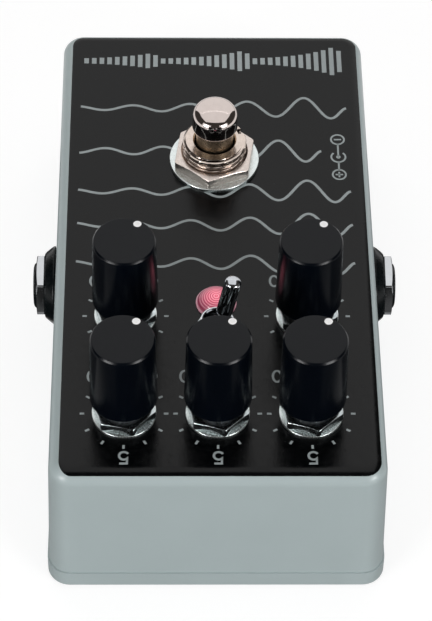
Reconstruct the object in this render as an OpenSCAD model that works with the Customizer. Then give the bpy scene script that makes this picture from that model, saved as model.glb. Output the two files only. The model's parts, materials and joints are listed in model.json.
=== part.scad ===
// Tape echo pedal in a die-cast box: five knobs, a toggle, a lit lens, a footswitch,
// two audio jacks and a power inlet. Millimetres. The origin is under the middle of the
// base, +X is the player's right, +Y points away from the player and +Z is up.

/* [Box] */
// Length of the base plate, front to back
box_l = 112.4; // [109:0.1:124]
// Width of the base plate
box_w = 60.5; // [58.5:0.1:72]
// Height from the underside of the base plate to the panel
box_h = 31; // [30:0.1:36]
// Height of the base plate's edge
lid_h = 4; // [3.4:0.1:5]
// Step from the base plate's edge in to the foot of the cast wall
lid_step = 0.25; // [0.1:0.05:0.6]
// Lean of the cast walls in degrees
draft = 1.3; // [0.5:0.1:2]
// Thickness of the cast walls
wall = 2.2; // [1.8:0.1:2.8]
// Thickness of the control panel
panel_t = 2.2; // [1.8:0.1:2.8]
// Corner radius seen from above
corner_r = 4; // [3.2:0.1:6]
// Rounding of the panel's edges
edge_r = 2.7; // [1:0.1:3]
// Rounding of the base plate's lower edge
foot_r = 0.8; // [0.3:0.1:1.5]
// Thickness of the base plate's floor
floor_t = 2.4; // [2:0.1:3]
// Height of the locating lip on the base plate
lip_h = 1.5; // [1:0.1:2.5]
// Thickness of the locating lip
lip_t = 1.6; // [1:0.1:2.5]

/* [Base screws] */
// Distance of each screw from the two sides of the base plate
screw_inset = 5.3; // [5:0.1:6]
// Diameter of the cast screw posts
post_d = 7.2; // [6.4:0.1:8]
// Diameter of the screws
screw_d = 3.4; // [3:0.1:3.8]
// Diameter of the countersunk heads
head_d = 6.4; // [5.8:0.1:7]
// Length of the screws
screw_l = 13; // [10:0.5:16]

/* [Knobs] */
// Distance between the knob columns
knob_pitch = 16.35; // [15.2:0.05:17.5]
// Distance between the two knob rows
row_gap = 22.4; // [21.5:0.1:24]
// Distance of the far knob row from the far side of the box
far_inset = 15; // [14.6:0.1:17]
// Diameter of a knob at its foot
knob_d = 11.84; // [11.2:0.02:13]
// Diameter of a knob at its top
knob_top_d = 11.2; // [10.4:0.1:12]
// Height of a knob
knob_h = 15.3; // [13:0.1:18]
// Gap between the panel and the foot of a knob
knob_lift = 5; // [4.4:0.1:6]
// Rounding of the knob's top edge
knob_edge_r = 0.2; // [0.1:0.05:1]
// Thickness of the knob's skirt
knob_wall = 1.1; // [0.8:0.1:1.3]
// Diameter of the white pointer dot
dot_d = 1.45; // [1:0.05:2]
// Flat left between the dot and the rounded edge
dot_margin = 0.12; // [0.08:0.01:0.8]
// Angle of the pointer from the line towards the player, at the left stop
stop_angle = 30; // [20:1:40]

/* [Potentiometers] */
// Width of a potentiometer
pot_w = 9.8; // [9:0.1:11]
// Length of a potentiometer
pot_l = 11; // [10:0.1:11.4]
// Depth of a potentiometer under the panel
pot_h = 6.8; // [6.2:0.1:8.2]
// Diameter of the threaded bushing
pot_bush_d = 6.9; // [6.7:0.05:7.2]
// Length of the bushing from the panel's underside
pot_bush_l = 5.4; // [5.2:0.1:6]
// Diameter of the shaft
shaft_d = 6; // [5.6:0.1:6]
// Length of the shaft above the panel's underside
shaft_l = 15.6; // [13:0.1:17]
// Width of the nut's wall, from the bushing to a flat
pot_nut_wall = 1.55; // [1.2:0.05:2]
// Thickness of the nut
pot_nut_t = 1.9; // [1.6:0.1:2]
// How far the washer stands out past the nut's flats, all round
pot_washer_rim = 0.65; // [0.4:0.05:0.9]
// Thickness of that washer
pot_washer_t = 0.6; // [0.4:0.1:0.8]

/* [Footswitch] */
// Distance of the footswitch from the middle of the box, towards the player
fs_off = 20; // [18:0.1:24]
// Width of the switch housing
fs_w = 17.2; // [15:0.1:18]
// Depth of the switch housing
fs_h = 12.6; // [11:0.1:13]
// Diameter of the threaded bushing
fs_bush_d = 11.9; // [11.4:0.1:12.4]
// Length of the bushing above the housing
fs_bush_l = 10.7; // [10:0.1:12]
// Bore of the bushing
fs_bore_d = 7.7; // [7.6:0.1:8.4]
// Diameter of the plunger's stem
fs_stem_d = 7; // [6:0.1:7]
// Diameter of the button on the stem
fs_cap_d = 8.5; // [8:0.1:10]
// Height of the button
fs_cap_h = 5; // [4:0.1:7]
// Gap from the bushing to the underside of the button
fs_gap = 3.3; // [3.2:0.1:5]
// Rounding of the button's upper edge
fs_cap_r = 1.9; // [0.8:0.1:2.2]
// Stroke of the plunger
fs_travel = 2.7; // [2:0.1:2.9]
// Width of the nuts' wall, from the bushing to a flat
fs_nut_wall = 1.05; // [0.9:0.05:1.6]
// Thickness of each nut
fs_nut_t = 2.1; // [1.8:0.1:2.5]
// How far the washer stands out past the nut's flats, all round
fs_washer_rim = 1.45; // [1:0.05:1.9]
// Thickness of that washer
fs_washer_t = 0.8; // [0.5:0.1:1.2]
// Thickness of the lock washer under the panel
fs_lock_t = 0.5; // [0.3:0.1:0.8]

/* [Toggle and lens] */
// Distance of the toggle from the far knob row
toggle_off = 17.2; // [16:0.1:18]
// Distance of the lens from the toggle
lens_off = 8.3; // [8:0.1:10]
// Length of the toggle's housing
toggle_l = 12.7; // [11:0.1:13]
// Width of the toggle's housing
toggle_w = 6.9; // [6:0.1:7.4]
// Depth of the toggle's housing
toggle_h = 9; // [7:0.1:9.4]
// Diameter of the toggle's bushing
toggle_bush_d = 6.1; // [6:0.05:6.35]
// Length of the toggle's bushing above its housing
toggle_bush_l = 7.5; // [7:0.1:8]
// Width of the toggle nut's wall, from the bushing to a flat
toggle_nut_wall = 0.95; // [0.7:0.05:1.05]
// Thickness of the toggle's nut
toggle_nut_t = 1.8; // [1.4:0.1:2]
// Thickness of the toggle's washer
toggle_washer_t = 0.5; // [0.3:0.1:0.7]
// Lean of the lever to each side in degrees
lever_lean = 10.5; // [8:0.5:11]
// Length of the lever from its pivot
lever_l = 15.6; // [13:0.1:18]
// Diameter of the lever at its tip
lever_d = 3; // [2.6:0.1:3.4]
// Diameter of the lever where it leaves the bushing
lever_neck_d = 2.3; // [2:0.1:2.4]
// Diameter of the lens rim
lens_d = 7.4; // [7:0.1:7.8]
// Height of the lens above the panel
lens_h = 1.9; // [1.6:0.1:2.6]
// Number of moulded rings on the lens
lens_rings = 6; // [4:1:8]
// Depth of a moulded ring
lens_ring_t = 0.12; // [0.06:0.02:0.16]
// Diameter of the light-emitting diode
led_d = 5; // [4.6:0.1:5]

/* [Jacks] */
// Distance of the jacks from the middle of the box, towards the player
jack_off = 0.8; // [0:0.1:2]
// Distance of the jacks' axes below the panel's face
jack_drop = 14; // [13.2:0.1:14.6]
// Bore for the 6.35 mm plug
jack_bore_d = 6.5; // [6.4:0.05:6.6]
// Diameter of the threaded nose
jack_nose_d = 8.8; // [8.6:0.1:9.4]
// Length of a jack's housing
jack_l = 21; // [19:0.1:21.4]
// Width of a jack's housing
jack_w = 13; // [11:0.1:13.6]
// Height of a jack's housing
jack_h = 13.2; // [12.2:0.1:14]
// How far the round bezel stands out past the nut's flats at the wall, all round
bezel_rim = 1.9; // [1.2:0.1:2.4]
// The same at the bezel's outer face
bezel_face_rim = 0.45; // [0.2:0.05:0.8]
// Thickness of the bezel
bezel_t = 2; // [1.4:0.1:2.6]
// Width of the jack nut's wall, from the nose to a flat
jack_nut_wall = 1.1; // [0.9:0.05:1.5]
// Thickness of the jack's nut
jack_nut_t = 1.5; // [1.2:0.1:2]
// How far the nose stands out of its nut
nose_proud = 0.6; // [0.3:0.1:1.2]

/* [Power inlet] */
// Distance of the inlet from the middle of the box, towards the player
dc_off = 21; // [20:0.1:24]
// Bore for the 5.5 mm power plug
dc_bore_d = 6.3; // [6:0.1:6.5]
// Depth of that bore
dc_depth = 10; // [9:0.1:11]
// Diameter of the centre pin
dc_pin_d = 2; // [1.9:0.1:2.5]
// Diameter of the inlet's round nose
dc_nose_d = 9; // [8.6:0.1:9.6]
// Length of the inlet's housing
dc_l = 14; // [12.5:0.1:15]
// Width of the inlet's housing
dc_w = 9.2; // [8.8:0.1:10]

/* [Circuit boards] */
// Thickness of the circuit boards
board_t = 1.6; // [1.2:0.1:2]
// Width of the ribbon cable between the boards
ribbon_w = 7.6; // [6:0.1:8]
// Thickness of the ribbon cable
ribbon_t = 0.9; // [0.6:0.1:1]
// Diameter of the filter capacitors
cap_d = 5; // [4:0.1:5.4]
// Height of the filter capacitors
cap_h = 7; // [5:0.1:9]

/* [Hidden] */

// Facets of round parts, and of the corners that the cast shapes are stretched over
$fn = 96;
hull_fn = 40;

// Clearances
run_gap = 0.05;      // a shaft that turns in its bore
seat_gap = 0.05;     // a thread or a pin in its hole
hole_gap = 0.2;      // a bushing in its panel hole, all round
fit_gap = 0.1;       // a housing against a leaning wall
stroke_gap = 0.3;    // what a moving part keeps at the end of its travel
cut = 1;             // how far a cut runs past a face

// Nuts across their flats, and what lies under them
pot_nut_af = pot_bush_d + 2 * pot_nut_wall;
pot_washer_d = pot_nut_af + 2 * pot_washer_rim;
fs_nut_af = fs_bush_d + 2 * fs_nut_wall;
fs_washer_d = fs_nut_af + 2 * fs_washer_rim;
toggle_nut_af = toggle_bush_d + 2 * toggle_nut_wall;
jack_nut_af = jack_nose_d + 2 * jack_nut_wall;
bezel_d = jack_nut_af + 2 * bezel_rim;
bezel_face_d = jack_nut_af + 2 * bezel_face_rim;

// Heights
jack_z = box_h - jack_drop;
panel_under = box_h - panel_t;
knob_foot = box_h + knob_lift;
board_top = panel_under - max(pot_h, toggle_h) - 2 * fit_gap;
board_foot = board_top - board_t;
jack_foot = jack_z - jack_h / 2;
low_board_foot = jack_foot - board_t;

// Length, width and height of the bodies under the main board, and the pitch of the chips' legs
delay_body = [12, 6.4, 2.4];
chip_body = [4.9, 3.9, 1.6];
film_body = [4.6, 2.6, 5];
resistor_body = [0.9, 1.6, 0.5];
chip_pitch = 1.27;

// Width and length of each solder pin, and how far the pins come out of a board
pot_pin = [0.8, 0.6];
toggle_lug = [0.8, 1.6];
led_leg = [0.5, 0.5];
jack_pin = [0.8, 0.8];
dc_pin = [1.2, 0.8];
fs_lug = [0.7, 2.2];
pin_out = 0.9;

// Places on the panel
far_y = box_l / 2 - far_inset;
near_y = far_y - row_gap;
mid_y = (far_y + near_y) / 2;
toggle_y = far_y - toggle_off;
lens_y = toggle_y - lens_off;
fs_y = -fs_off;
jack_y = -jack_off;
dc_y = -dc_off;
post_x = box_w / 2 - screw_inset;
post_y = box_l / 2 - screw_inset;
POTS = [[-knob_pitch, far_y], [0, far_y], [knob_pitch, far_y],
    [-knob_pitch, near_y], [knob_pitch, near_y]];
// Turn of the nuts, as they happened to be tightened
pot_nut_turn = [42, 43, 47, 40, 45];
fs_nut_turn = 22;
fs_key_turn = 203;
jack_nut_turn = 49;
nut_bevel = 14;

// Half width and half length of the cast box at height z, outside and inside
function half_w(z) = box_w / 2 - lid_step - (z - lid_h) * tan(draft);
function half_l(z) = box_l / 2 - lid_step - (z - lid_h) * tan(draft);
function inner_w(z) = half_w(z) - wall;
function inner_l(z) = half_l(z) - wall;

// Where a piece seats on the outside of a side wall, and where its housing starts inside
jack_seat = half_w(jack_z - bezel_d / 2);
jack_front = inner_w(jack_z + jack_h / 2) - fit_gap;
dc_top = jack_foot + dc_w + 1.6;
dc_z = dc_top - dc_w / 2;
dc_front = inner_w(dc_top) - fit_gap;
dc_mouth = half_w(dc_z + dc_nose_d / 2) - fit_gap;
dc_root_l = 1.5;
dc_root_step = 0.4;
dc_pin_back = 1.2;
nose_end = bezel_t + jack_nut_t + nose_proud;

// Footswitch heights: its lock washer and inner nut lie between housing and panel
fs_top = panel_under - fs_lock_t - fs_nut_t;
fs_ring = fs_top + fs_bush_l;
fs_sunk = 4;
fs_stem_foot = fs_top - fs_sunk + fs_travel + stroke_gap + 1;
fs_cap_foot = fs_ring + fs_gap;

// Toggle heights: the ball turns in the bushing's bore
ball_r = toggle_bush_d / 2 - 0.75;
toggle_bore_r = ball_r + fit_gap;
pivot_z = panel_under + ball_r + 0.5;
toggle_ring = panel_under + toggle_bush_l;

// Knob and potentiometer details
dot_lift = 0.02;
dot_t = 0.35;
dot_inset = knob_edge_r + dot_margin + dot_d / 2;
mould_h = knob_h - dot_lift;
pot_plate_t = 1.6;
pot_leg_t = 0.8;
pot_leg_w = 2;
pot_floor_t = 1.6;

// Lens and lamp
lens_rim_t = 0.45;
lens_skirt_d = led_d + 1.2;
lens_skin = 0.7;
led_top = box_h + lens_h - lens_skin - stroke_gap;
led_dome = led_d / 2;
led_body_h = 8.4;

// Ribbon cable between the two headers, looped once each way in the gap between the boards
board_gap = board_foot - jack_foot;
header_w = ribbon_w + 0.6;
header_l = 2.5;
header_h = 0.52 * board_gap;
ribbon_r = 0.21 * board_gap;
low_header_y = jack_y + jack_w / 2 + stroke_gap + header_l / 2;
high_header_y = low_header_y + 4 * ribbon_r;
ribbon_high = jack_foot + 0.68 * board_gap;
ribbon_low = jack_foot + 0.24 * board_gap;

// Board outlines
main_half_w = knob_pitch + pot_w / 2 + 2.2;
main_y0 = jack_y + jack_w / 2 + 2.5;
main_y1 = min(far_y + 5.6, post_y - post_d / 2 - 0.5);
low_half_w = inner_w(jack_foot) - 1;
low_y0 = min(fs_y - fs_w / 2, dc_y - dc_w / 2) - 4;
low_y1 = low_header_y + header_l / 2 + 0.8;

// A post with a rounded upper edge, which the cast shapes are stretched over
module corner_post(r, h, round_r) {
    arc = [for (a = [0:7.5:90]) [r - round_r + round_r * cos(a), h - round_r + round_r * sin(a)]];
    rotate_extrude($fn = hull_fn) polygon(concat([[0, 0], [r, 0]], arc, [[0, h]]));
}

// A cast block: its foot is w0 by l0 at z0, its top w1 by l1 at z1 with a rounded edge
module cast_block(w0, l0, z0, w1, l1, z1, r, round_r) {
    hull() for (sx = [-1, 1], sy = [-1, 1]) {
        translate([sx * (w0 / 2 - r), sy * (l0 / 2 - r), z0])
            cylinder(r = r, h = 0.01, $fn = hull_fn);
        translate([sx * (w1 / 2 - r), sy * (l1 / 2 - r), z1 - round_r - 0.02])
            corner_post(r, round_r + 0.02, round_r);
    }
}

// A box centred on x and y, from z0 to z1
module block(w, l, z0, z1) {
    translate([-w / 2, -l / 2, z0]) cube([w, l, z1 - z0]);
}

// A ring from z0 to z1
module ring(outer_d, inner_d, z0, z1) {
    difference() {
        translate([0, 0, z0]) cylinder(d = outer_d, h = z1 - z0);
        translate([0, 0, z0 - cut]) cylinder(d = inner_d, h = z1 - z0 + 2 * cut);
    }
}

// A hexagon nut from z0 to z1 with its upper corners turned down
module hex_nut(af, bore_d, z0, z1) {
    t = z1 - z0;
    corner = af / 2 / cos(30);
    rim = 0.97 * af / 2;
    fall = (corner + cut - rim) * tan(nut_bevel);
    difference() {
        intersection() {
            translate([0, 0, z0]) cylinder(r = corner, h = t, $fn = 6);
            rotate_extrude() polygon([[0, z0 - cut], [corner + cut, z0 - cut], [corner + cut, z1 - fall],
                [rim, z1], [0, z1]]);
        }
        translate([0, 0, z0 - cut]) cylinder(d = bore_d, h = t + 2 * cut);
    }
}

// Puts its children on a side wall: their z axis points out of the wall, their x axis up
module on_wall(side, x, y, z) {
    translate([side * x, y, z]) rotate([0, side * 90, 0]) rotate([0, 0, side > 0 ? 180 : 0]) children();
}

module at_posts() {
    for (sx = [-1, 1], sy = [-1, 1]) translate([sx * post_x, sy * post_y, 0]) children();
}

module at_pots() {
    for (p = POTS) translate([p[0], p[1], 0]) children();
}

// Holes for pieces of diameter d, in the panel and in a side wall
module panel_hole(y, d) {
    translate([0, y, panel_under - cut]) cylinder(d = d + 2 * hole_gap, h = panel_t + 2 * cut);
}

module side_hole(side, y, z, d) {
    on_wall(side, inner_w(box_h) - 2 * cut, y, z) cylinder(d = d + 2 * hole_gap, h = wall + 6 * cut);
}

module enclosure() {
    color([0.61, 0.66, 0.66]) difference() {
        union() {
            difference() {
                cast_block(2 * half_w(lid_h), 2 * half_l(lid_h), lid_h,
                    2 * half_w(box_h), 2 * half_l(box_h), box_h, corner_r, edge_r);
                cast_block(2 * inner_w(lid_h - cut), 2 * inner_l(lid_h - cut), lid_h - cut,
                    2 * inner_w(panel_under), 2 * inner_l(panel_under), panel_under,
                    max(corner_r - wall, 1), 0.8);
            }
            at_posts() translate([0, 0, lid_h]) cylinder(d = post_d, h = panel_under - lid_h + 0.5);
        }
        at_posts() translate([0, 0, lid_h - cut]) cylinder(d = screw_d + 2 * seat_gap, h = screw_l + cut);
        at_pots() panel_hole(0, pot_bush_d);
        panel_hole(fs_y, fs_bush_d);
        panel_hole(toggle_y, toggle_bush_d);
        panel_hole(lens_y, lens_skirt_d);
        side_hole(1, jack_y, jack_z, jack_nose_d);
        side_hole(-1, jack_y, jack_z, jack_nose_d);
        side_hole(-1, dc_y, dc_z, dc_nose_d);
    }
}

// Base plate with its pocket, its locating lip and four countersunk holes
module base_plate() {
    land = 2 * screw_inset + 0.6;
    lip_w = 2 * (inner_w(lid_h + lip_h) - hole_gap);
    lip_l = 2 * (inner_l(lid_h + lip_h) - hole_gap);
    bar = 2 * (post_y - post_d / 2 - 1.5);
    bar_short = 2 * (post_x - post_d / 2 - 1.5);
    color([0.58, 0.63, 0.63]) difference() {
        union() {
            translate([0, 0, lid_h]) mirror([0, 0, 1])
                cast_block(box_w, box_l, 0, box_w, box_l, lid_h, corner_r, foot_r);
            for (s = [-1, 1]) {
                translate([s * (lip_w - lip_t) / 2, 0, 0]) block(lip_t, bar, floor_t, lid_h + lip_h);
                translate([0, s * (lip_l - lip_t) / 2, 0]) block(bar_short, lip_t, floor_t, lid_h + lip_h);
            }
        }
        block(lip_w - 2 * lip_t, box_l - 2 * land, floor_t, lid_h + cut);
        block(box_w - 2 * land, lip_l - 2 * lip_t, floor_t, lid_h + cut);
        at_posts() {
            translate([0, 0, -cut]) cylinder(d = screw_d + 2 * hole_gap, h = lid_h + 2 * cut);
            rotate_extrude() polygon([[0, -cut], [head_d / 2 + hole_gap, -cut], [head_d / 2 + hole_gap, 0.2],
                [screw_d / 2 + hole_gap, 0.2 + (head_d - screw_d) / 2], [0, 0.2 + (head_d - screw_d) / 2]]);
        }
    }
}

module base_screws() {
    cross = 2.6;
    color([0.3, 0.3, 0.32]) at_posts() difference() {
        rotate_extrude() polygon([[0, 0.15], [head_d / 2, 0.15], [head_d / 2, 0.3],
            [screw_d / 2, 0.3 + (head_d - screw_d) / 2], [screw_d / 2, screw_l - 0.6],
            [screw_d / 2 - 0.6, screw_l], [0, screw_l]]);
        for (a = [0, 90]) rotate([0, 0, a]) block(cross, 0.7, -cut, 1.2);
    }
}

// Moulded knob: a tapered skirt over a ribbed boss that grips the shaft
module knob(i) {
    r0 = knob_d / 2;
    r1 = knob_top_d / 2;
    boss_r = shaft_d / 2 + 1.1;
    hollow_top = knob_h - 2.2;
    shaft_top = panel_under + shaft_l + stroke_gap - knob_foot;
    er = knob_edge_r;
    edge = [for (a = [0:22.5:90]) [r1 - er + er * cos(a), mould_h - er + er * sin(a)]];
    color([0.1, 0.105, 0.115]) translate([POTS[i][0], POTS[i][1], knob_foot]) difference() {
        rotate_extrude() polygon(concat([[0, 0], [r0 - 0.3, 0], [r0, 0.3]], edge, [[0, mould_h]]));
        difference() {
            translate([0, 0, -cut]) cylinder(r = r1 - knob_wall, h = hollow_top + cut);
            translate([0, 0, -2 * cut]) cylinder(r = boss_r, h = hollow_top + 4 * cut);
            for (a = [0:60:120]) rotate([0, 0, a + 15]) block(knob_d - knob_wall, 0.8, 1.5, hollow_top + cut);
        }
        translate([0, 0, -cut]) cylinder(d = shaft_d + 2 * run_gap, h = shaft_top + cut);
        dot_place() translate([0, 0, knob_h - dot_t]) cylinder(d = dot_d, h = cut);
    }
}

module dot_place() {
    rotate([0, 0, 270 - stop_angle]) translate([knob_top_d / 2 - dot_inset, 0, 0]) children();
}

module pointer_dot(i) {
    color([0.93, 0.93, 0.9]) translate([POTS[i][0], POTS[i][1], knob_foot]) dot_place()
        translate([0, 0, knob_h - dot_t]) cylinder(d = dot_d, h = dot_t);
}

// Shaft with its split end
module pot_shaft(i) {
    foot = panel_under - pot_h + pot_floor_t + stroke_gap;
    top = panel_under + shaft_l;
    color([0.75, 0.76, 0.78]) translate([POTS[i][0], POTS[i][1], 0]) difference() {
        rotate_extrude() polygon([[0, foot], [shaft_d / 2, foot], [shaft_d / 2, top - 0.5],
            [shaft_d / 2 - 0.5, top], [0, top]]);
        rotate([0, 0, 270 - stop_angle]) block(shaft_d + cut, 0.9, top - 5, top + cut);
    }
}

// Cast front of each potentiometer: plate, threaded bushing and two legs to the board
module pot_bushings() {
    color([0.72, 0.73, 0.75]) at_pots() {
        difference() {
            union() {
                block(pot_w, pot_l, panel_under - pot_plate_t, panel_under);
                translate([0, 0, panel_under - pot_plate_t])
                    cylinder(d = pot_bush_d, h = pot_plate_t + pot_bush_l);
                for (s = [-1, 1]) translate([s * (pot_w - pot_leg_t) / 2, 0, 0])
                    block(pot_leg_t, pot_leg_w, board_foot - pin_out, panel_under - pot_plate_t / 2);
            }
            translate([0, 0, panel_under - pot_h])
                cylinder(d = shaft_d + 2 * run_gap, h = pot_h + pot_bush_l + cut);
        }
    }
}

module pot_housings() {
    color([0.13, 0.13, 0.14]) at_pots() difference() {
        block(pot_w - 2 * pot_leg_t - 2 * fit_gap, pot_l, panel_under - pot_h, panel_under - pot_plate_t);
        translate([0, 0, panel_under - pot_h + pot_floor_t]) cylinder(d = shaft_d + 2 * run_gap, h = pot_h);
    }
}

module at_pot_pins() {
    at_pots() for (i = [-1:1]) translate([i * 2.5, 1.2 - pot_l / 2, 0]) children();
}

module pot_pins() {
    color([0.8, 0.78, 0.7]) at_pot_pins()
        block(pot_pin[0], pot_pin[1], board_foot - pin_out, panel_under - pot_h);
}

module pot_washers() {
    color([0.85, 0.86, 0.87]) at_pots()
        ring(pot_washer_d, pot_bush_d + 2 * hole_gap, box_h, box_h + pot_washer_t);
}

module pot_nuts() {
    z = box_h + pot_washer_t;
    color([0.78, 0.79, 0.8]) for (i = [0:4]) translate([POTS[i][0], POTS[i][1], 0])
        rotate([0, 0, pot_nut_turn[i]]) hex_nut(pot_nut_af, pot_bush_d + 2 * seat_gap, z, z + pot_nut_t);
}

// Button and stem, turned in one piece
module footswitch_button() {
    r = fs_cap_d / 2;
    top = fs_cap_foot + fs_cap_h;
    crown_z = top - 0.25 - fs_cap_r;
    crown = [for (a = [0:10:90]) [r - fs_cap_r + fs_cap_r * cos(a), crown_z + fs_cap_r * sin(a)]];
    color([0.75, 0.72, 0.7]) translate([0, fs_y, 0]) rotate_extrude() polygon(concat(
        [[0, fs_stem_foot], [fs_stem_d / 2, fs_stem_foot], [fs_stem_d / 2, fs_cap_foot],
        [r - 0.5, fs_cap_foot], [r, fs_cap_foot + 0.5]], crown, [[r * 0.28, top - 0.06], [0, top]]));
}

// Threaded bushing with its keyway, sunk in the housing
module footswitch_bushing() {
    r = fs_bush_d / 2;
    color([0.74, 0.72, 0.71]) translate([0, fs_y, 0]) difference() {
        rotate_extrude() polygon([[fs_bore_d / 2, fs_top - fs_sunk], [r, fs_top - fs_sunk],
            [r, fs_ring - 0.7], [r - 0.7, fs_ring], [fs_bore_d / 2 + 0.25, fs_ring],
            [fs_bore_d / 2, fs_ring - 0.25]]);
        rotate([0, 0, fs_key_turn]) translate([r - 0.8, -0.6, fs_top]) cube([2, 1.2, fs_bush_l + cut]);
    }
}

module footswitch_housing() {
    color([0.15, 0.25, 0.5]) translate([0, fs_y, 0]) difference() {
        union() {
            block(fs_w, fs_w, fs_top - fs_h, fs_top - 0.6);
            block(fs_w - 1.2, fs_w + 0.6, fs_top - fs_h + 2.5, fs_top);
        }
        translate([0, 0, fs_top - fs_sunk]) cylinder(d = fs_bush_d + 2 * seat_gap, h = fs_sunk + cut);
        translate([0, 0, fs_stem_foot - fs_travel - stroke_gap])
            cylinder(d = fs_bore_d, h = fs_h);
    }
}

module at_fs_lugs() {
    translate([0, fs_y, 0]) for (i = [-1:1], j = [-1:1]) translate([i * 5.2, j * 4.8, 0]) children();
}

module footswitch_lugs() {
    color([0.85, 0.82, 0.72]) at_fs_lugs()
        block(fs_lug[0], fs_lug[1], low_board_foot - pin_out, fs_top - fs_h);
}

// Two identical nuts: one on the panel's washer, one under the panel
module footswitch_nuts() {
    outer = box_h + fs_washer_t;
    color([0.76, 0.73, 0.71]) translate([0, fs_y, 0]) {
        rotate([0, 0, fs_nut_turn]) hex_nut(fs_nut_af, fs_bush_d + 2 * seat_gap, outer, outer + fs_nut_t);
        hex_nut(fs_nut_af, fs_bush_d + 2 * seat_gap, fs_top, fs_top + fs_nut_t);
    }
}

module footswitch_washer() {
    color([0.86, 0.88, 0.89]) translate([0, fs_y, 0])
        ring(fs_washer_d, fs_bush_d + 2 * hole_gap, box_h, box_h + fs_washer_t);
}

module footswitch_lock_washer() {
    z = panel_under - fs_lock_t;
    color([0.7, 0.7, 0.72]) translate([0, fs_y, 0]) difference() {
        ring(fs_washer_d - 1, fs_bush_d + 2 * hole_gap, z, panel_under);
        for (a = [0:30:330]) rotate([0, 0, a]) translate([fs_bush_d / 2, -0.4, z - cut])
            cube([1.4, 0.8, fs_lock_t + 2 * cut]);
    }
}

// Lever with its ball, leaning to the player's left at rest
module toggle_lever() {
    r = lever_d / 2;
    neck = lever_neck_d / 2;
    neck_top = toggle_ring - pivot_z + 1.2;
    tip = [for (a = [0:15:75]) [r - 0.6 + 0.6 * cos(a), lever_l - 0.75 + 0.6 * sin(a)]];
    color([0.7, 0.71, 0.73]) translate([0, toggle_y, pivot_z]) rotate([0, -lever_lean, 0]) union() {
        sphere(r = ball_r);
        rotate_extrude() polygon(concat([[0, 0], [neck, 0], [neck, neck_top - 2.2], [r, neck_top + 2]],
            tip, [[0, lever_l]]));
    }
}

module toggle_bushing() {
    r = toggle_bush_d / 2;
    color([0.78, 0.79, 0.8]) translate([0, toggle_y, 0]) difference() {
        rotate_extrude() polygon([[0, panel_under], [r, panel_under], [r, toggle_ring - 0.2],
            [r - 0.2, toggle_ring], [0, toggle_ring]]);
        translate([0, 0, pivot_z]) {
            sphere(r = toggle_bore_r);
            cylinder(r = toggle_bore_r, h = toggle_bush_l);
        }
    }
}

module toggle_housing() {
    color([0.5, 0.12, 0.1]) translate([0, toggle_y, 0])
        block(toggle_l, toggle_w, panel_under - toggle_h, panel_under);
}

module at_toggle_lugs() {
    translate([0, toggle_y, 0]) for (i = [-1:1]) translate([i * 4.7, 0, 0]) children();
}

module toggle_lugs() {
    color([0.85, 0.82, 0.72]) at_toggle_lugs()
        block(toggle_lug[0], toggle_lug[1], board_foot - pin_out, panel_under - toggle_h);
}

module toggle_nut() {
    z = box_h + toggle_washer_t;
    color([0.78, 0.79, 0.8]) translate([0, toggle_y, 0])
        hex_nut(toggle_nut_af, toggle_bush_d + 2 * seat_gap, z, z + toggle_nut_t);
}

module toggle_washer() {
    color([0.85, 0.86, 0.87]) translate([0, toggle_y, 0])
        ring(toggle_nut_af + 0.4, toggle_bush_d + 2 * hole_gap, box_h, box_h + toggle_washer_t);
}

// Height of the ringed crown over the panel at radius r: a shallow dome with a sine ripple
function crown(r) = lens_rim_t + (lens_h - lens_rim_t) * sqrt(max(0, 1 - pow(r / (lens_d / 2 - 0.25), 2)))
    - lens_ring_t * (1 - cos(360 * lens_rings * r / (lens_d / 2 - 0.25)));

// Clear red lens: rim on the panel, skirt through it, rings moulded in the crown
module led_lens() {
    edge = lens_d / 2;
    steps = 8 * lens_rings;
    top = [for (k = [steps:-1:0]) let (r = (edge - 0.35) * k / steps) [r, box_h + crown(r)]];
    color([0.9, 0.2, 0.3]) translate([0, lens_y, 0]) difference() {
        rotate_extrude() polygon(concat([[0, panel_under - 1.5], [lens_skirt_d / 2, panel_under - 1.5],
            [lens_skirt_d / 2, box_h], [edge, box_h], [edge, box_h + lens_rim_t - 0.1],
            [edge - 0.1, box_h + lens_rim_t], [edge - 0.3, box_h + lens_rim_t]], top));
        translate([0, 0, panel_under - 2 * cut])
            cylinder(d = led_d + 2 * seat_gap, h = led_top - led_dome - panel_under + 2 * cut);
        translate([0, 0, led_top - led_dome]) sphere(d = led_d + 2 * seat_gap);
    }
}

module at_led_legs() {
    translate([0, lens_y, 0]) for (s = [-1, 1]) translate([s * 1.27, 0, 0]) children();
}

module led() {
    foot = led_top - led_body_h;
    color([0.95, 0.3, 0.35]) {
        translate([0, lens_y, 0]) {
            translate([0, 0, foot]) cylinder(d = led_d, h = led_body_h - led_dome);
            translate([0, 0, led_top - led_dome]) sphere(d = led_d);
        }
        at_led_legs() block(led_leg[0], led_leg[1], board_foot - pin_out, foot + 0.5);
    }
}

// Jack: housing inside the wall, threaded nose through it, one straight bore for the plug
module jack(side) {
    back = jack_seat - jack_front;
    r = jack_nose_d / 2;
    color([0.07, 0.07, 0.08]) on_wall(side, jack_seat, jack_y, jack_z) difference() {
        union() {
            translate([-jack_h / 2, -jack_w / 2, -back - jack_l]) cube([jack_h, jack_w, jack_l]);
            rotate_extrude() polygon([[0, -back - 1], [r, -back - 1], [r, nose_end - nose_proud],
                [r - 0.12, nose_end - 0.45], [r - 0.4, nose_end - 0.15], [r - 0.8, nose_end], [0, nose_end]]);
        }
        translate([0, 0, -back - jack_l - cut])
            cylinder(d = jack_bore_d, h = back + jack_l + nose_end + 2 * cut);
        translate([0, -1.6, -back - jack_l + 4]) cube([jack_h, 3.2, 8]);
        translate([jack_h / 2 - 1.2, -1.6, -back - jack_l + 1.5]) cube([jack_h, 3.2, 11]);
    }
}

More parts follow.
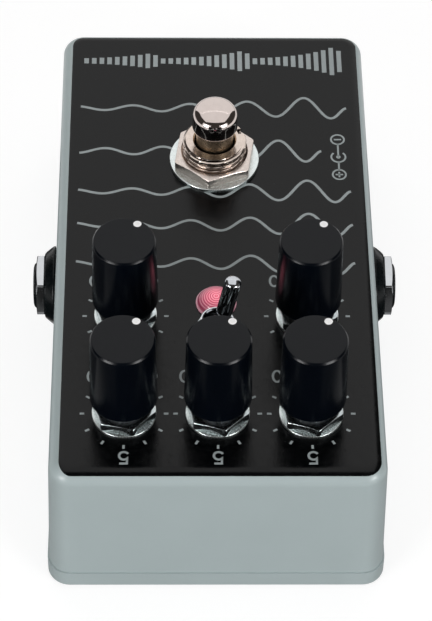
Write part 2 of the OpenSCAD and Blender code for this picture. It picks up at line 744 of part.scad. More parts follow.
// Leaf spring of each jack: its tail lies in the housing's groove, its bend reaches the bore
module jack_springs() {
    back = jack_seat - jack_front;
    t = 0.4;
    shelf = jack_h / 2 - 1.2;
    dip = jack_bore_d / 2 + 0.2;
    z0 = -back - jack_l + 1.7;
    line = [[z0, shelf], [z0 + 2.6, shelf], [z0 + 5.8, dip], [z0 + 6.6, dip], [z0 + 8.8, shelf - 0.4]];
    outline = concat([for (p = line) [p[1] + t, p[0]]], [for (k = [4:-1:0]) [line[k][1], line[k][0]]]);
    color([0.8, 0.76, 0.6]) for (side = [-1, 1]) on_wall(side, jack_seat, jack_y, jack_z)
        translate([0, 1.3, 0]) rotate([90, 0, 0]) linear_extrude(2.6) polygon(outline);
}

module at_jack_pins() {
    for (s = [-1, 1]) {
        for (d = [-4, 4]) translate([s * (jack_front - 4), jack_y + d, 0]) children();
        translate([s * (jack_front - jack_l + 3), jack_y, 0]) children();
    }
}

module jack_pins() {
    color([0.85, 0.82, 0.72]) at_jack_pins()
        block(jack_pin[0], jack_pin[1], low_board_foot - pin_out, jack_foot);
}

// Round bezels with a slanting edge, flat against the wall
module jack_bezels() {
    r0 = bezel_d / 2;
    r1 = bezel_face_d / 2;
    color([0.05, 0.05, 0.055]) for (side = [-1, 1]) on_wall(side, jack_seat, jack_y, jack_z) rotate_extrude()
        polygon([[jack_nose_d / 2 + seat_gap, 0], [r0, 0], [r0, 0.25], [r0 - 0.35 * (r0 - r1), 0.5 * bezel_t],
            [r1 + 0.25 * (r0 - r1), 0.85 * bezel_t], [r1, bezel_t], [jack_nose_d / 2 + seat_gap, bezel_t]]);
}

module jack_nuts() {
    color([0.6, 0.62, 0.64]) for (side = [-1, 1]) on_wall(side, jack_seat, jack_y, jack_z)
        rotate([0, 0, side * jack_nut_turn])
            hex_nut(jack_nut_af, jack_nose_d + 2 * seat_gap, bezel_t, bezel_t + jack_nut_t);
}

// Power inlet: its round nose fills a hole in the wall, flush with the outside
module dc_inlet() {
    nose = dc_mouth - dc_front;
    floor_z = nose - dc_depth;
    color([0.08, 0.08, 0.09]) on_wall(-1, dc_front, dc_y, dc_z) difference() {
        union() {
            translate([jack_foot - dc_z, -dc_w / 2, -dc_l]) cube([dc_top - jack_foot, dc_w, dc_l]);
            translate([0, 0, -1]) cylinder(d = dc_nose_d, h = nose + 1);
        }
        translate([0, 0, floor_z]) cylinder(d = dc_bore_d, h = dc_depth + cut);
        translate([0, 0, floor_z - dc_root_l]) cylinder(d = dc_pin_d + 2 * dc_root_step, h = dc_depth);
    }
}

// Centre pin on its wider root, which is held in the housing's floor
module dc_centre_pin() {
    nose = dc_mouth - dc_front;
    floor_z = nose - dc_depth;
    tip = nose - dc_pin_back;
    root = dc_pin_d / 2 + dc_root_step;
    color([0.85, 0.85, 0.86]) on_wall(-1, dc_front, dc_y, dc_z) rotate_extrude()
        polygon([[0, floor_z - dc_root_l], [root, floor_z - dc_root_l], [root, floor_z],
            [dc_pin_d / 2, floor_z], [dc_pin_d / 2, tip - 0.4], [dc_pin_d / 2 - 0.4, tip], [0, tip]]);
}

module at_dc_pins() {
    for (p = [[-2.5, -2.5], [-2.5, 2.5], [3 - dc_l, 0]])
        translate([-(dc_front + p[0]), dc_y + p[1], 0]) children();
}

module dc_pins() {
    color([0.85, 0.82, 0.72]) at_dc_pins()
        block(dc_pin[0], dc_pin[1], low_board_foot - pin_out, jack_foot);
}

// Hole for a pin of the given width and length, through either board
module pin_hole(pin, foot) {
    block(pin[0] + 2 * hole_gap, pin[1] + 2 * hole_gap, foot - cut, foot + board_t + cut);
}

// Board on the potentiometers, the toggle and the lamp
module main_board() {
    color([0.05, 0.3, 0.18]) difference() {
        translate([-main_half_w, main_y0, board_foot]) cube([2 * main_half_w, main_y1 - main_y0, board_t]);
        at_pot_pins() pin_hole(pot_pin, board_foot);
        at_pots() for (s = [-1, 1]) translate([s * (pot_w - pot_leg_t) / 2, 0, 0])
            pin_hole([pot_leg_t, pot_leg_w], board_foot);
        at_toggle_lugs() pin_hole(toggle_lug, board_foot);
        at_led_legs() pin_hole(led_leg, board_foot);
    }
}

// Board under the jacks, the inlet and the footswitch
module jack_board() {
    color([0.05, 0.3, 0.18]) difference() {
        translate([-low_half_w, low_y0, low_board_foot]) cube([2 * low_half_w, low_y1 - low_y0, board_t]);
        at_jack_pins() pin_hole(jack_pin, low_board_foot);
        at_dc_pins() pin_hole(dc_pin, low_board_foot);
        at_fs_lugs() pin_hole(fs_lug, low_board_foot);
    }
}

module board_headers() {
    color([0.1, 0.1, 0.1]) {
        translate([0, low_header_y, 0]) block(header_w, header_l, jack_foot, jack_foot + header_h);
        translate([0, high_header_y, 0]) block(header_w, header_l, board_foot - header_h, board_foot);
    }
}

// Ribbon cable: up, over, down, under and up again between the two headers
module ribbon_cable() {
    y0 = low_header_y;
    r = ribbon_r;
    over = [for (a = [180:-15:0]) [y0 + r + r * cos(a), ribbon_high + r * sin(a), a]];
    under = [for (a = [180:15:360]) [y0 + 3 * r + r * cos(a), ribbon_low + r * sin(a), a + 180]];
    line = concat([[y0, jack_foot + header_h, 180]], over, under,
        [[high_header_y, board_foot - header_h, 180]]);
    one = [for (p = line) [p[0] + ribbon_t / 2 * cos(p[2]), p[1] + ribbon_t / 2 * sin(p[2])]];
    two = [for (k = [len(line) - 1:-1:0]) let (p = line[k])
        [p[0] - ribbon_t / 2 * cos(p[2]), p[1] - ribbon_t / 2 * sin(p[2])]];
    color([0.6, 0.6, 0.62]) translate([-ribbon_w / 2, 0, 0]) rotate([90, 0, 90])
        linear_extrude(ribbon_w) polygon(concat(one, two));
}

// The chips, capacitors and resistors hang under the main board
module delay_chip() {
    color([0.08, 0.08, 0.09]) translate([0, mid_y + 1, 0]) {
        block(delay_body[0], delay_body[1], board_foot - delay_body[2], board_foot - 0.3);
        for (s = [-1, 1], k = [-4:4]) translate([k * chip_pitch, s * (delay_body[1] / 2 + 0.2), 0])
            block(0.5, 1.2, board_foot - 1.2, board_foot);
    }
}

module small_chips() {
    color([0.08, 0.08, 0.09]) for (s = [-1, 1]) translate([s * knob_pitch, mid_y, 0]) {
        block(chip_body[0], chip_body[1], board_foot - chip_body[2], board_foot - 0.1);
        for (t = [-1, 1], k = [-1.5:1.5]) translate([k * chip_pitch, t * (chip_body[1] / 2 + 0.35), 0])
            block(0.4, 1.2, board_foot - 0.8, board_foot);
    }
}

module filter_capacitors() {
    color([0.15, 0.17, 0.3]) for (s = [-1, 1], y = [near_y + 6.4, near_y - 3])
        translate([s * knob_pitch / 2, y, board_foot - cap_h]) cylinder(d = cap_d, h = cap_h);
}

module film_capacitors() {
    color([0.7, 0.3, 0.15]) for (s = [-1, 1], k = [0, 1])
        translate([s * (knob_pitch / 2 + 0.2), far_y - 3 + 4.4 * k, 0])
            block(film_body[0], film_body[1], board_foot - film_body[2], board_foot);
}

module chip_resistors() {
    color([0.2, 0.2, 0.22]) for (s = [-1, 1], k = [0:5])
        translate([s * (knob_pitch + 4.2 - 1.7 * k), mid_y + 4.6, 0])
            block(resistor_body[0], resistor_body[1], board_foot - resistor_body[2], board_foot);
}

enclosure();
base_plate();
base_screws();
knob(0);  // knob_top_left
knob(1);  // knob_top_middle
knob(2);  // knob_top_right
knob(3);  // knob_lower_left
knob(4);  // knob_lower_right
pointer_dot(0);  // pointer_dot_top_left
pointer_dot(1);  // pointer_dot_top_middle
pointer_dot(2);  // pointer_dot_top_right
pointer_dot(3);  // pointer_dot_lower_left
pointer_dot(4);  // pointer_dot_lower_right
pot_shaft(0);  // pot_shaft_top_left
pot_shaft(1);  // pot_shaft_top_middle
pot_shaft(2);  // pot_shaft_top_right
pot_shaft(3);  // pot_shaft_lower_left
pot_shaft(4);  // pot_shaft_lower_right
pot_bushings();
pot_housings();
pot_pins();
pot_washers();
pot_nuts();
footswitch_button();
footswitch_bushing();
footswitch_housing();
footswitch_lugs();
footswitch_nuts();
footswitch_washer();
footswitch_lock_washer();
toggle_lever();
toggle_bushing();
toggle_housing();
toggle_lugs();
toggle_nut();
toggle_washer();
led_lens();
led();
jack(1);  // input_jack
jack(-1);  // output_jack
jack_bezels();
jack_nuts();
jack_springs();
jack_pins();
dc_inlet();
dc_centre_pin();
dc_pins();
main_board();
jack_board();
board_headers();
ribbon_cable();
delay_chip();
small_chips();
filter_capacitors();
film_capacitors();
chip_resistors();
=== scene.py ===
"""A tape echo pedal in its die-cast box, dressed for a studio picture.

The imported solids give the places, which are read from the frame. This file adds the
finishes and the finer shapes: moulded knobs, threaded bushings, nuts, the ringed lens and
the printed panel. Lengths in the classes are millimetres, and a mesh is scaled to metres
when it is made.
"""

import json
import logging
import math
from dataclasses import dataclass, field, replace
from enum import Enum

import bmesh
import bpy
import numpy as np
from mathutils import Matrix, Vector

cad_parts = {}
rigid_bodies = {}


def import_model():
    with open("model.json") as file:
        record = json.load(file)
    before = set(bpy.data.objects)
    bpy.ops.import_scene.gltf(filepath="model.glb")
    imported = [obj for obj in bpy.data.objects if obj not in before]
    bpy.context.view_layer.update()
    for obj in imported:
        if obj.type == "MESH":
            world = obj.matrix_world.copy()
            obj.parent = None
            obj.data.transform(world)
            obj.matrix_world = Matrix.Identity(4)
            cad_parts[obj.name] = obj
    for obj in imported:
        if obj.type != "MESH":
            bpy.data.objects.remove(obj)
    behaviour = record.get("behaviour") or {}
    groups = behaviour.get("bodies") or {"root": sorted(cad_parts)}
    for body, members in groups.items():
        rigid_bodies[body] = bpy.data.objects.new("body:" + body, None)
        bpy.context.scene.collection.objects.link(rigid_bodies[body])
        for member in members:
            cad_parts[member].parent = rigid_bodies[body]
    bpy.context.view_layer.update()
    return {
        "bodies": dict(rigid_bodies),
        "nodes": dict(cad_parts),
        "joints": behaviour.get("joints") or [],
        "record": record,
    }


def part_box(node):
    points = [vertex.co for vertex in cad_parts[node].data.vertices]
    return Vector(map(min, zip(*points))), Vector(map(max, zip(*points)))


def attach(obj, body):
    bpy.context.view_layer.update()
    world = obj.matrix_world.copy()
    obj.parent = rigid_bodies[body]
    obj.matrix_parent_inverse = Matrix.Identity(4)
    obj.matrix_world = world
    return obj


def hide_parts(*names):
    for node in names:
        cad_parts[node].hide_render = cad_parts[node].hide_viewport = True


log = logging.getLogger("tape_echo_pedal")

Array = np.ndarray
MM = 0.001
# Distances within which doubled points are merged, in metres
WELD = 1e-7
COPY_WELD = 2e-6
# Play of a nut and of a washer round a thread's radius
NUT_PLAY = 0.05
WASHER_PLAY = 0.2
# Usual span of a noise value, share of each finer layer, and patch of the gloss in patches of colour
NOISE_SPREAD = (0.3, 0.7)
LAYER_SHARE = 0.55
GLOSS_PATCH = 0.37
WHITE = (1.0, 1.0, 1.0, 1.0)
BLACK = (0.0, 0.0, 0.0, 1.0)
CORNERS = ("top_left", "top_middle", "top_right", "lower_left", "lower_right")
PEDAL = "pedal"


class Axis(Enum):
    """The axis that a shape is turned about."""

    X = 0
    Y = 1
    Z = 2


class Relief(Enum):
    """The fine relief of a finish."""

    ORANGE_PEEL = "orange peel of sprayed paint"
    MOULDED = "spark-eroded grain of a moulding"
    BRUSHED = "fine lines along one direction"
    PLATED = "slight waviness under bright plating"
    SMOOTH = "polished"


class Side(Enum):
    """A side wall of the box, as the player sees it."""

    LEFT = -1
    RIGHT = 1


# Finishes


def linear(shade: tuple[float, float, float]) -> tuple[float, float, float, float]:
    """Turns a display colour, 0 to 255, into the linear colour that a shader takes.

    Args:
        shade: Red, green and blue as they look on a screen.

    Returns:
        Linear red, green and blue, and full opacity.
    """
    part = np.asarray(shade, float) / 255
    value = np.where(part <= 0.04045, part / 12.92, ((part + 0.055) / 1.055) ** 2.4)
    return (float(value[0]), float(value[1]), float(value[2]), 1.0)


def add(tree: bpy.types.NodeTree, kind: str, values: dict[str | int, object] | None = None,
        **settings: object) -> bpy.types.Node:
    """Adds a shader node and sets it up.

    Args:
        tree: The material's node tree.
        kind: The node's type, without its ShaderNode.
        values: Input values by the input's name or number.
        settings: The node's own settings, made before the values.

    Returns:
        The new node.
    """
    node = tree.nodes.new("ShaderNode" + kind)
    for name, value in settings.items():
        setattr(node, name, value)
    for name, value in (values or {}).items():
        node.inputs[name].default_value = value
    return node


def wire(tree: bpy.types.NodeTree, *pairs: tuple[bpy.types.NodeSocket, bpy.types.NodeSocket]) -> None:
    """Links each pair of sockets, from an output to an input.

    Args:
        tree: The material's node tree.
        pairs: The sockets, two by two.
    """
    for start, end in pairs:
        tree.links.new(start, end)


@dataclass(frozen=True)
class Finish:
    """A surface finish: its colour, its patches, its gloss and its fine relief."""

    name: str
    shade: tuple[float, float, float]
    metal: float = 0.0
    rough: float = 0.4
    rough_vary: float = 0.06
    vary: float = 0.06
    patch: float = 6.0
    shine: float = 0.5
    relief: Relief = Relief.SMOOTH
    grain: float = 0.6
    depth: float = 0.01
    coat: float = 0.0
    coat_rough: float = 0.1

    def material(self) -> bpy.types.Material:
        """Builds the finish's node material once and gives it again when asked.

        Returns:
            The material with this finish's name.
        """
        kept = bpy.data.materials.get(self.name)
        if kept is not None:
            return kept
        material = bpy.data.materials.new(self.name)
        material.use_nodes = True
        tree = material.node_tree
        shader = tree.nodes["Principled BSDF"]
        place = add(tree, "TexCoord")
        shader.inputs["Metallic"].default_value = self.metal
        shader.inputs["Specular IOR Level"].default_value = self.shine
        shader.inputs["Coat Weight"].default_value = self.coat
        shader.inputs["Coat Roughness"].default_value = self.coat_rough
        self.colour(tree, place, shader)
        self.gloss(tree, place, shader)
        if self.relief is not Relief.SMOOTH:
            self.bump(tree, place, shader)
        return material

    def noise(self, tree: bpy.types.NodeTree, place: bpy.types.Node, size: float,
              detail: float = 3.0, stretch: tuple[float, float, float] = (1, 1, 1)) -> bpy.types.Node:
        """Adds a noise pattern on object coordinates.

        Args:
            tree: The material's node tree.
            place: The texture coordinate node.
            size: Width of one blotch in millimetres.
            detail: Number of finer layers.
            stretch: Scale along each axis before the noise is read.

        Returns:
            The noise node.
        """
        mapping = add(tree, "Mapping", {"Scale": stretch})
        noise = add(tree, "TexNoise", {"Scale": 1.0 / (size * MM), "Detail": detail,
                                     "Roughness": LAYER_SHARE})
        wire(tree, (place.outputs["Object"], mapping.inputs["Vector"]),
             (mapping.outputs["Vector"], noise.inputs["Vector"]))
        return noise

    def from_axis(self, tree: bpy.types.NodeTree, place: bpy.types.Node,
                  axis: tuple[float, float]) -> bpy.types.NodeSocket:
        """Measures the distance from an upright axis.

        Args:
            tree: The material's node tree.
            place: The texture coordinate node.
            axis: The axis's x and y in millimetres.

        Returns:
            The socket that gives the distance in metres.
        """
        foot = (-axis[0] * MM, -axis[1] * MM, 0.0)
        middle = add(tree, "Mapping", {"Location": foot, "Scale": (1, 1, 0)})
        distance = add(tree, "VectorMath", operation="LENGTH")
        wire(tree, (place.outputs["Object"], middle.inputs["Vector"]),
             (middle.outputs["Vector"], distance.inputs[0]))
        return distance.outputs["Value"]

    def colour(self, tree: bpy.types.NodeTree, place: bpy.types.Node, shader: bpy.types.Node) -> None:
        """Mixes a darker and a lighter shade by soft patches.

        Args:
            tree: The material's node tree.
            place: The texture coordinate node.
            shader: The shader to feed.
        """
        noise = self.noise(tree, place, self.patch)
        shade = np.asarray(self.shade, float)
        darker = linear(tuple(shade * (1 - self.vary)))
        lighter = linear(tuple(np.minimum(shade * (1 + self.vary), 255)))
        mix = add(tree, "Mix", {"A": darker, "B": lighter}, data_type="RGBA")
        wire(tree, (noise.outputs["Fac"], mix.inputs["Factor"]),
             (mix.outputs["Result"], shader.inputs["Base Color"]))

    def gloss(self, tree: bpy.types.NodeTree, place: bpy.types.Node, shader: bpy.types.Node) -> None:
        """Lets the roughness wander a little about its mean.

        Args:
            tree: The material's node tree.
            place: The texture coordinate node.
            shader: The shader to feed.
        """
        noise = self.noise(tree, place, self.patch * GLOSS_PATCH, 4.0)
        low, high = NOISE_SPREAD
        least = max(self.rough - self.rough_vary, 0.02)
        spread = add(tree, "MapRange", {"From Min": low, "From Max": high, "To Min": least,
                                        "To Max": self.rough + self.rough_vary})
        wire(tree, (noise.outputs["Fac"], spread.inputs["Value"]),
             (spread.outputs["Result"], shader.inputs["Roughness"]))

    def bump(self, tree: bpy.types.NodeTree, place: bpy.types.Node, shader: bpy.types.Node) -> None:
        """Adds the fine relief as a bump of the finish's depth.

        Args:
            tree: The material's node tree.
            place: The texture coordinate node.
            shader: The shader to feed.
        """
        stretch = (1.0, 0.08, 1.0) if self.relief is Relief.BRUSHED else (1.0, 1.0, 1.0)
        detail = 2.0 if self.relief in (Relief.ORANGE_PEEL, Relief.PLATED) else 5.0
        noise = self.noise(tree, place, self.grain, detail, stretch)
        bump = add(tree, "Bump", {"Strength": 1.0, "Distance": self.depth * MM})
        wire(tree, (noise.outputs["Fac"], bump.inputs["Height"]),
             (bump.outputs["Normal"], shader.inputs["Normal"]))


@dataclass(frozen=True)
class LitLens(Finish):
    """Red lens with a lamp behind it: pink on the crests of its rings, crimson between."""

    axis: tuple[float, float] = (0.0, 0.0)
    pitch: float = 0.345
    reach: float = 3.7
    rim_glow: float = 0.1
    crest: tuple[float, float, float] = (1.0, 0.42, 0.50)
    valley: tuple[float, float, float] = (0.28, 0.0, 0.03)
    # Colours from the middle to the rim; the last, pale pink at the rim, is a painted highlight of the
    # flange's edge
    bands: tuple[tuple[float, tuple[float, float, float]], ...] = (
        (0.0, (200, 74, 100)), (0.45, (190, 62, 94)), (0.8, (136, 40, 76)), (0.93, (120, 30, 66)),
        (0.98, (214, 158, 174)))

    def bands_ramp(self, tree: bpy.types.NodeTree) -> bpy.types.Node:
        """Adds a colour ramp with the bands from the lens's middle to its rim, ending in a painted
        highlight on the rim.

        Args:
            tree: The material's node tree.

        Returns:
            The ramp, which takes the share of the radius.
        """
        node = add(tree, "ValToRGB")
        stops = node.color_ramp.elements
        for stop, (at, shade) in zip(stops, (self.bands[0], self.bands[-1])):
            stop.position, stop.color = at, linear(shade)
        for at, shade in self.bands[1:-1]:
            stops.new(at).color = linear(shade)
        return node

    def colour(self, tree: bpy.types.NodeTree, place: bpy.types.Node, shader: bpy.types.Node) -> None:
        """Colours the lens in bands and lights its rings from within.

        With r the distance from the lens's axis, the glow goes from the valleys' colour to
        the crests' by (1 + cos(2 pi r / pitch)) / 2, and fades from 1 to the rim's glow.

        Args:
            tree: The material's node tree.
            place: The texture coordinate node.
            shader: The shader to feed.
        """
        distance = self.from_axis(tree, place, self.axis)
        wave = add(tree, "Math", {1: 2 * math.pi / (self.pitch * MM)}, operation="MULTIPLY")
        cosine = add(tree, "Math", operation="COSINE")
        half = add(tree, "MapRange", {"From Min": -1.0})
        ring = add(tree, "Mix", {"A": (*self.valley, 1.0), "B": (*self.crest, 1.0)}, data_type="RGBA")
        fade = add(tree, "MapRange", {"From Max": self.reach * MM, "To Min": 1.0,
                                      "To Max": self.rim_glow})
        glow = add(tree, "Mix", {"Factor": 1.0}, data_type="RGBA", blend_type="MULTIPLY")
        share = add(tree, "MapRange", {"From Max": self.reach * MM})
        bands = self.bands_ramp(tree)
        wire(tree,
             (distance, wave.inputs[0]),
             (wave.outputs["Value"], cosine.inputs[0]),
             (cosine.outputs["Value"], half.inputs["Value"]),
             (half.outputs["Result"], ring.inputs["Factor"]),
             (ring.outputs["Result"], glow.inputs["A"]),
             (distance, fade.inputs["Value"]),
             (fade.outputs["Result"], glow.inputs["B"]),
             (glow.outputs["Result"], shader.inputs["Emission Color"]),
             (distance, share.inputs["Value"]),
             (share.outputs["Result"], bands.inputs["Fac"]),
             (bands.outputs["Color"], shader.inputs["Base Color"]))
        shader.inputs["Emission Strength"].default_value = 1.0


@dataclass(frozen=True)
class ShadedGrooves(Finish):
    """Plated thread with painted shade: its grooves, and the bore below them, are darkened up to the
    height of its chamfer.
    """

    axis: tuple[float, float] = (0.0, 0.0)
    groove_r: float = 5.5
    crest_r: float = 5.85
    top: float = 36.5
    # Colour of the painted shade in the grooves and the bore
    groove_shade: tuple[float, float, float] = (38, 26, 22)

    def colour(self, tree: bpy.types.NodeTree, place: bpy.types.Node, shader: bpy.types.Node) -> None:
        """Paints shade into the grooves, from the crests' radius down to the grooves'.

        The share of painted shade is (crest - r) / (crest - groove), held to 0 and 1, and
        none above the top; the bore, inside the grooves' radius, takes it all.

        Args:
            tree: The material's node tree.
            place: The texture coordinate node.
            shader: The shader to feed.
        """
        super().colour(tree, place, shader)
        plain = shader.inputs["Base Color"].links[0].from_socket
        distance = self.from_axis(tree, place, self.axis)
        depth = add(tree, "MapRange", {"From Min": self.crest_r * MM, "From Max": self.groove_r * MM})
        level = add(tree, "SeparateXYZ")
        below = add(tree, "Math", {1: self.top * MM}, operation="LESS_THAN")
        share = add(tree, "Math", operation="MULTIPLY")
        # Mixes in the painted shade
        mix = add(tree, "Mix", {"B": linear(self.groove_shade)}, data_type="RGBA")
        wire(tree,
             (distance, depth.inputs["Value"]),
             (place.outputs["Object"], level.inputs["Vector"]),
             (level.outputs["Z"], below.inputs[0]),
             (depth.outputs["Result"], share.inputs[0]),
             (below.outputs["Value"], share.inputs[1]),
             (share.outputs["Value"], mix.inputs["Factor"]),
             (plain, mix.inputs["A"]),
             (mix.outputs["Result"], shader.inputs["Base Color"]))


PAINT = Finish("satin_grey_green_paint", (165, 177, 178), rough=0.34, vary=0.015, patch=9,
               relief=Relief.ORANGE_PEEL, grain=0.9, depth=0.012)
PRINT = Finish("black_panel_print", (3, 4, 5), rough=0.22, vary=0.12, patch=3, shine=0.25,
               relief=Relief.ORANGE_PEEL, grain=0.5, depth=0.014)
INK = Finish("pale_grey_ink", (158, 166, 167), rough=0.5, vary=0.05, patch=2, shine=0.3,
             relief=Relief.MOULDED, grain=0.25, depth=0.004)
KNOB = Finish("black_knob_plastic", (3, 6, 12), rough=0.22, rough_vary=0.03, vary=0.12, patch=3, shine=0.2,
              relief=Relief.MOULDED, grain=0.3, depth=0.001)
DOT = Finish("white_dot_lacquer", (253, 253, 252), rough=0.3, vary=0.02, patch=1,
             relief=Relief.ORANGE_PEEL, grain=0.4, depth=0.004)
SOCKET = Finish("black_socket_plastic", (5, 10, 12), rough=0.28, vary=0.15, patch=2, shine=0.2,
                relief=Relief.MOULDED, grain=0.25, depth=0.004)
ZINC = Finish("bright_zinc_plate", (222, 229, 228), metal=1.0, rough=0.28, rough_vary=0.08, vary=0.08,
              patch=0.5, relief=Relief.MOULDED, grain=0.35, depth=0.004)
CHROME = Finish("bright_chrome_plate", (206, 209, 212), metal=1.0, rough=0.08, rough_vary=0.03, vary=0.03,
                patch=1.5, relief=Relief.PLATED, grain=1.0, depth=0.001)
NICKEL = Finish("warm_nickel_plate", (208, 196, 191), metal=1.0, rough=0.08, rough_vary=0.03, vary=0.03,
                patch=1.5, relief=Relief.PLATED, grain=1.2, depth=0.001)
NICKEL_FLAT = Finish("brushed_nickel_nut", (214, 203, 196), metal=1.0, rough=0.3, vary=0.1, patch=0.6,
                     relief=Relief.MOULDED, grain=0.3, depth=0.006)
# Nickel thread whose grooves and bore carry painted shade
NICKEL_THREAD_SHADED = ShadedGrooves("turned_nickel_thread", (216, 202, 192), metal=1.0, rough=0.18, vary=0.07,
                        patch=0.7, relief=Relief.BRUSHED, grain=0.15, depth=0.003)
# Rougher nickel with a browner tint than the cap's, for the stem
NICKEL_STEM = Finish("worn_nickel_stem", (184, 168, 146), metal=1.0, rough=0.3, vary=0.12, patch=0.7,
                     relief=Relief.BRUSHED, grain=0.15, depth=0.004)
PLATED_NUT = Finish("plated_steel_nut", (196, 204, 206), metal=1.0, rough=0.2, rough_vary=0.08, vary=0.12,
                    patch=0.4, relief=Relief.MOULDED, grain=0.3, depth=0.006)
LEVER = Finish("polished_lever", (200, 203, 208), metal=1.0, rough=0.05, rough_vary=0.02, vary=0.03,
               patch=1.5)
# Painted shade: the lever's ball, near-black for its place in the shade inside the bushing
BALL_SHADE = Finish("oiled_black_steel", (16, 16, 19), metal=0.3, rough=0.35, vary=0.15, patch=1,
               relief=Relief.MOULDED, grain=0.3, depth=0.003)
SHAFT = Finish("turned_alloy", (196, 198, 202), metal=1.0, rough=0.28, vary=0.05, patch=1,
               relief=Relief.BRUSHED, grain=0.15, depth=0.004)
CAST = Finish("cast_pot_metal", (190, 192, 196), metal=1.0, rough=0.35, vary=0.07, patch=1.5,
              relief=Relief.MOULDED, grain=0.5, depth=0.01)
SCREW = Finish("black_oxide_steel", (58, 59, 62), metal=1.0, rough=0.35, vary=0.1, patch=1,
               relief=Relief.PLATED, grain=0.5, depth=0.006)
TINNED = Finish("tinned_brass", (214, 205, 184), metal=1.0, rough=0.3, vary=0.06, patch=0.8,
                relief=Relief.PLATED, grain=0.4, depth=0.01)
SPRING = Finish("spring_brass", (205, 190, 150), metal=1.0, rough=0.25, vary=0.05, patch=1,
                relief=Relief.BRUSHED, grain=0.2, depth=0.004)
INNER = Finish("inner_black_plastic", (34, 34, 37), rough=0.5, vary=0.1, patch=2,
               relief=Relief.MOULDED, grain=0.4, depth=0.01)
BLUE = Finish("switch_blue_plastic", (38, 66, 130), rough=0.4, vary=0.06, patch=2,
              relief=Relief.MOULDED, grain=0.4, depth=0.008)
RED = Finish("switch_red_plastic", (130, 30, 27), rough=0.4, vary=0.06, patch=2,
             relief=Relief.MOULDED, grain=0.4, depth=0.008)
LAMP = Finish("lamp_epoxy", (240, 70, 84), rough=0.15, vary=0.03, patch=2,
              relief=Relief.PLATED, grain=2.0, depth=0.004)
BOARD = Finish("green_solder_mask", (22, 82, 50), rough=0.3, vary=0.08, patch=3,
               relief=Relief.MOULDED, grain=0.35, depth=0.006)
RIBBON = Finish("ribbon_cable_grey", (150, 150, 154), rough=0.45, vary=0.05, patch=1.27,
                relief=Relief.BRUSHED, grain=1.0, depth=0.05)
CAN_BLUE = Finish("capacitor_sleeve_blue", (44, 48, 82), rough=0.3, vary=0.06, patch=2,
                  relief=Relief.PLATED, grain=1.5, depth=0.006)
FILM = Finish("film_capacitor_orange", (180, 80, 42), rough=0.35, vary=0.06, patch=2,
              relief=Relief.MOULDED, grain=0.5, depth=0.008)
CERAMIC = Finish("resistor_black", (40, 40, 44), rough=0.4, vary=0.15, patch=0.6,
                 relief=Relief.MOULDED, grain=0.2, depth=0.005)


# Surfaces on a grid


@dataclass(frozen=True)
class Skin:
    """A surface as arrays: points in millimetres, and quads that join them."""

    points: Array
    quads: Array

    def moved(self, x: float = 0.0, y: float = 0.0, z: float = 0.0) -> "Skin":
        """Gives the surface shifted by a vector in millimetres."""
        return Skin(self.points + np.array([x, y, z]), self.quads)

    def turned(self, degrees: float, axis: Axis = Axis.Z) -> "Skin":
        """Turns the surface about an axis through the origin.

        Args:
            degrees: Angle, counterclockwise seen from the axis's positive end.
            axis: The axis.

        Returns:
            The turned surface.
        """
        turn = np.array(Matrix.Rotation(math.radians(degrees), 3, axis.name))
        return Skin(self.points @ turn.T, self.quads)

    @staticmethod
    def joined(skins: list["Skin"]) -> "Skin":
        """Puts several surfaces into one, with their quads counted on.

        Args:
            skins: The surfaces.

        Returns:
            One surface.
        """
        starts = np.cumsum([0] + [len(s.points) for s in skins[:-1]])
        return Skin(np.concatenate([s.points for s in skins]),
                    np.concatenate([s.quads + n for s, n in zip(skins, starts)]))


def grid_quads(rows: int, columns: int, wrap_rows: bool = True, wrap_columns: bool = True) -> Array:
    """Joins each grid point to its next column, its next row and the point across.

    Args:
        rows: Number of rows.
        columns: Number of columns.
        wrap_rows: True where the last row joins the first.
        wrap_columns: True where the last column joins the first.

    Returns:
        The quads, one per grid cell.
    """
    i, j = np.meshgrid(np.arange(rows if wrap_rows else rows - 1),
                       np.arange(columns if wrap_columns else columns - 1), indexing="ij")
    k, m = (i + 1) % rows, (j + 1) % columns
    quads = np.stack([i * columns + j, i * columns + m, k * columns + m, k * columns + j], -1)
    return quads.reshape(-1, 4)


def eased(corners: Array, radii: Array | float, steps: int = 5) -> Array:
    """Rounds a closed outline's corners, each by a parabola that leaves and meets its sides.

    With a and b the points at the rounding's reach on both sides of a corner c, the
    curve is (1-t)^2 a + 2t(1-t) c + t^2 b for t from 0 to 1.

    Args:
        corners: The outline's corners, in order.
        radii: Reach of the rounding at each corner, or one for all.
        steps: Points on each rounded corner.

    Returns:
        The rounded outline.
    """
    to_last = np.roll(corners, 1, 0) - corners
    to_next = np.roll(corners, -1, 0) - corners
    last = np.linalg.norm(to_last, axis=1, keepdims=True)
    after = np.linalg.norm(to_next, axis=1, keepdims=True)
    reach = np.broadcast_to(np.asarray(radii, float).reshape(-1, 1), last.shape)
    reach = np.minimum(reach, 0.48 * np.minimum(last, after))
    a, b = corners + to_last / last * reach, corners + to_next / after * reach
    t = np.linspace(0, 1, steps)[None, :, None]
    curve = (1 - t) ** 2 * a[:, None] + 2 * t * (1 - t) * corners[:, None] + t**2 * b[:, None]
    return curve.reshape(-1, 2)


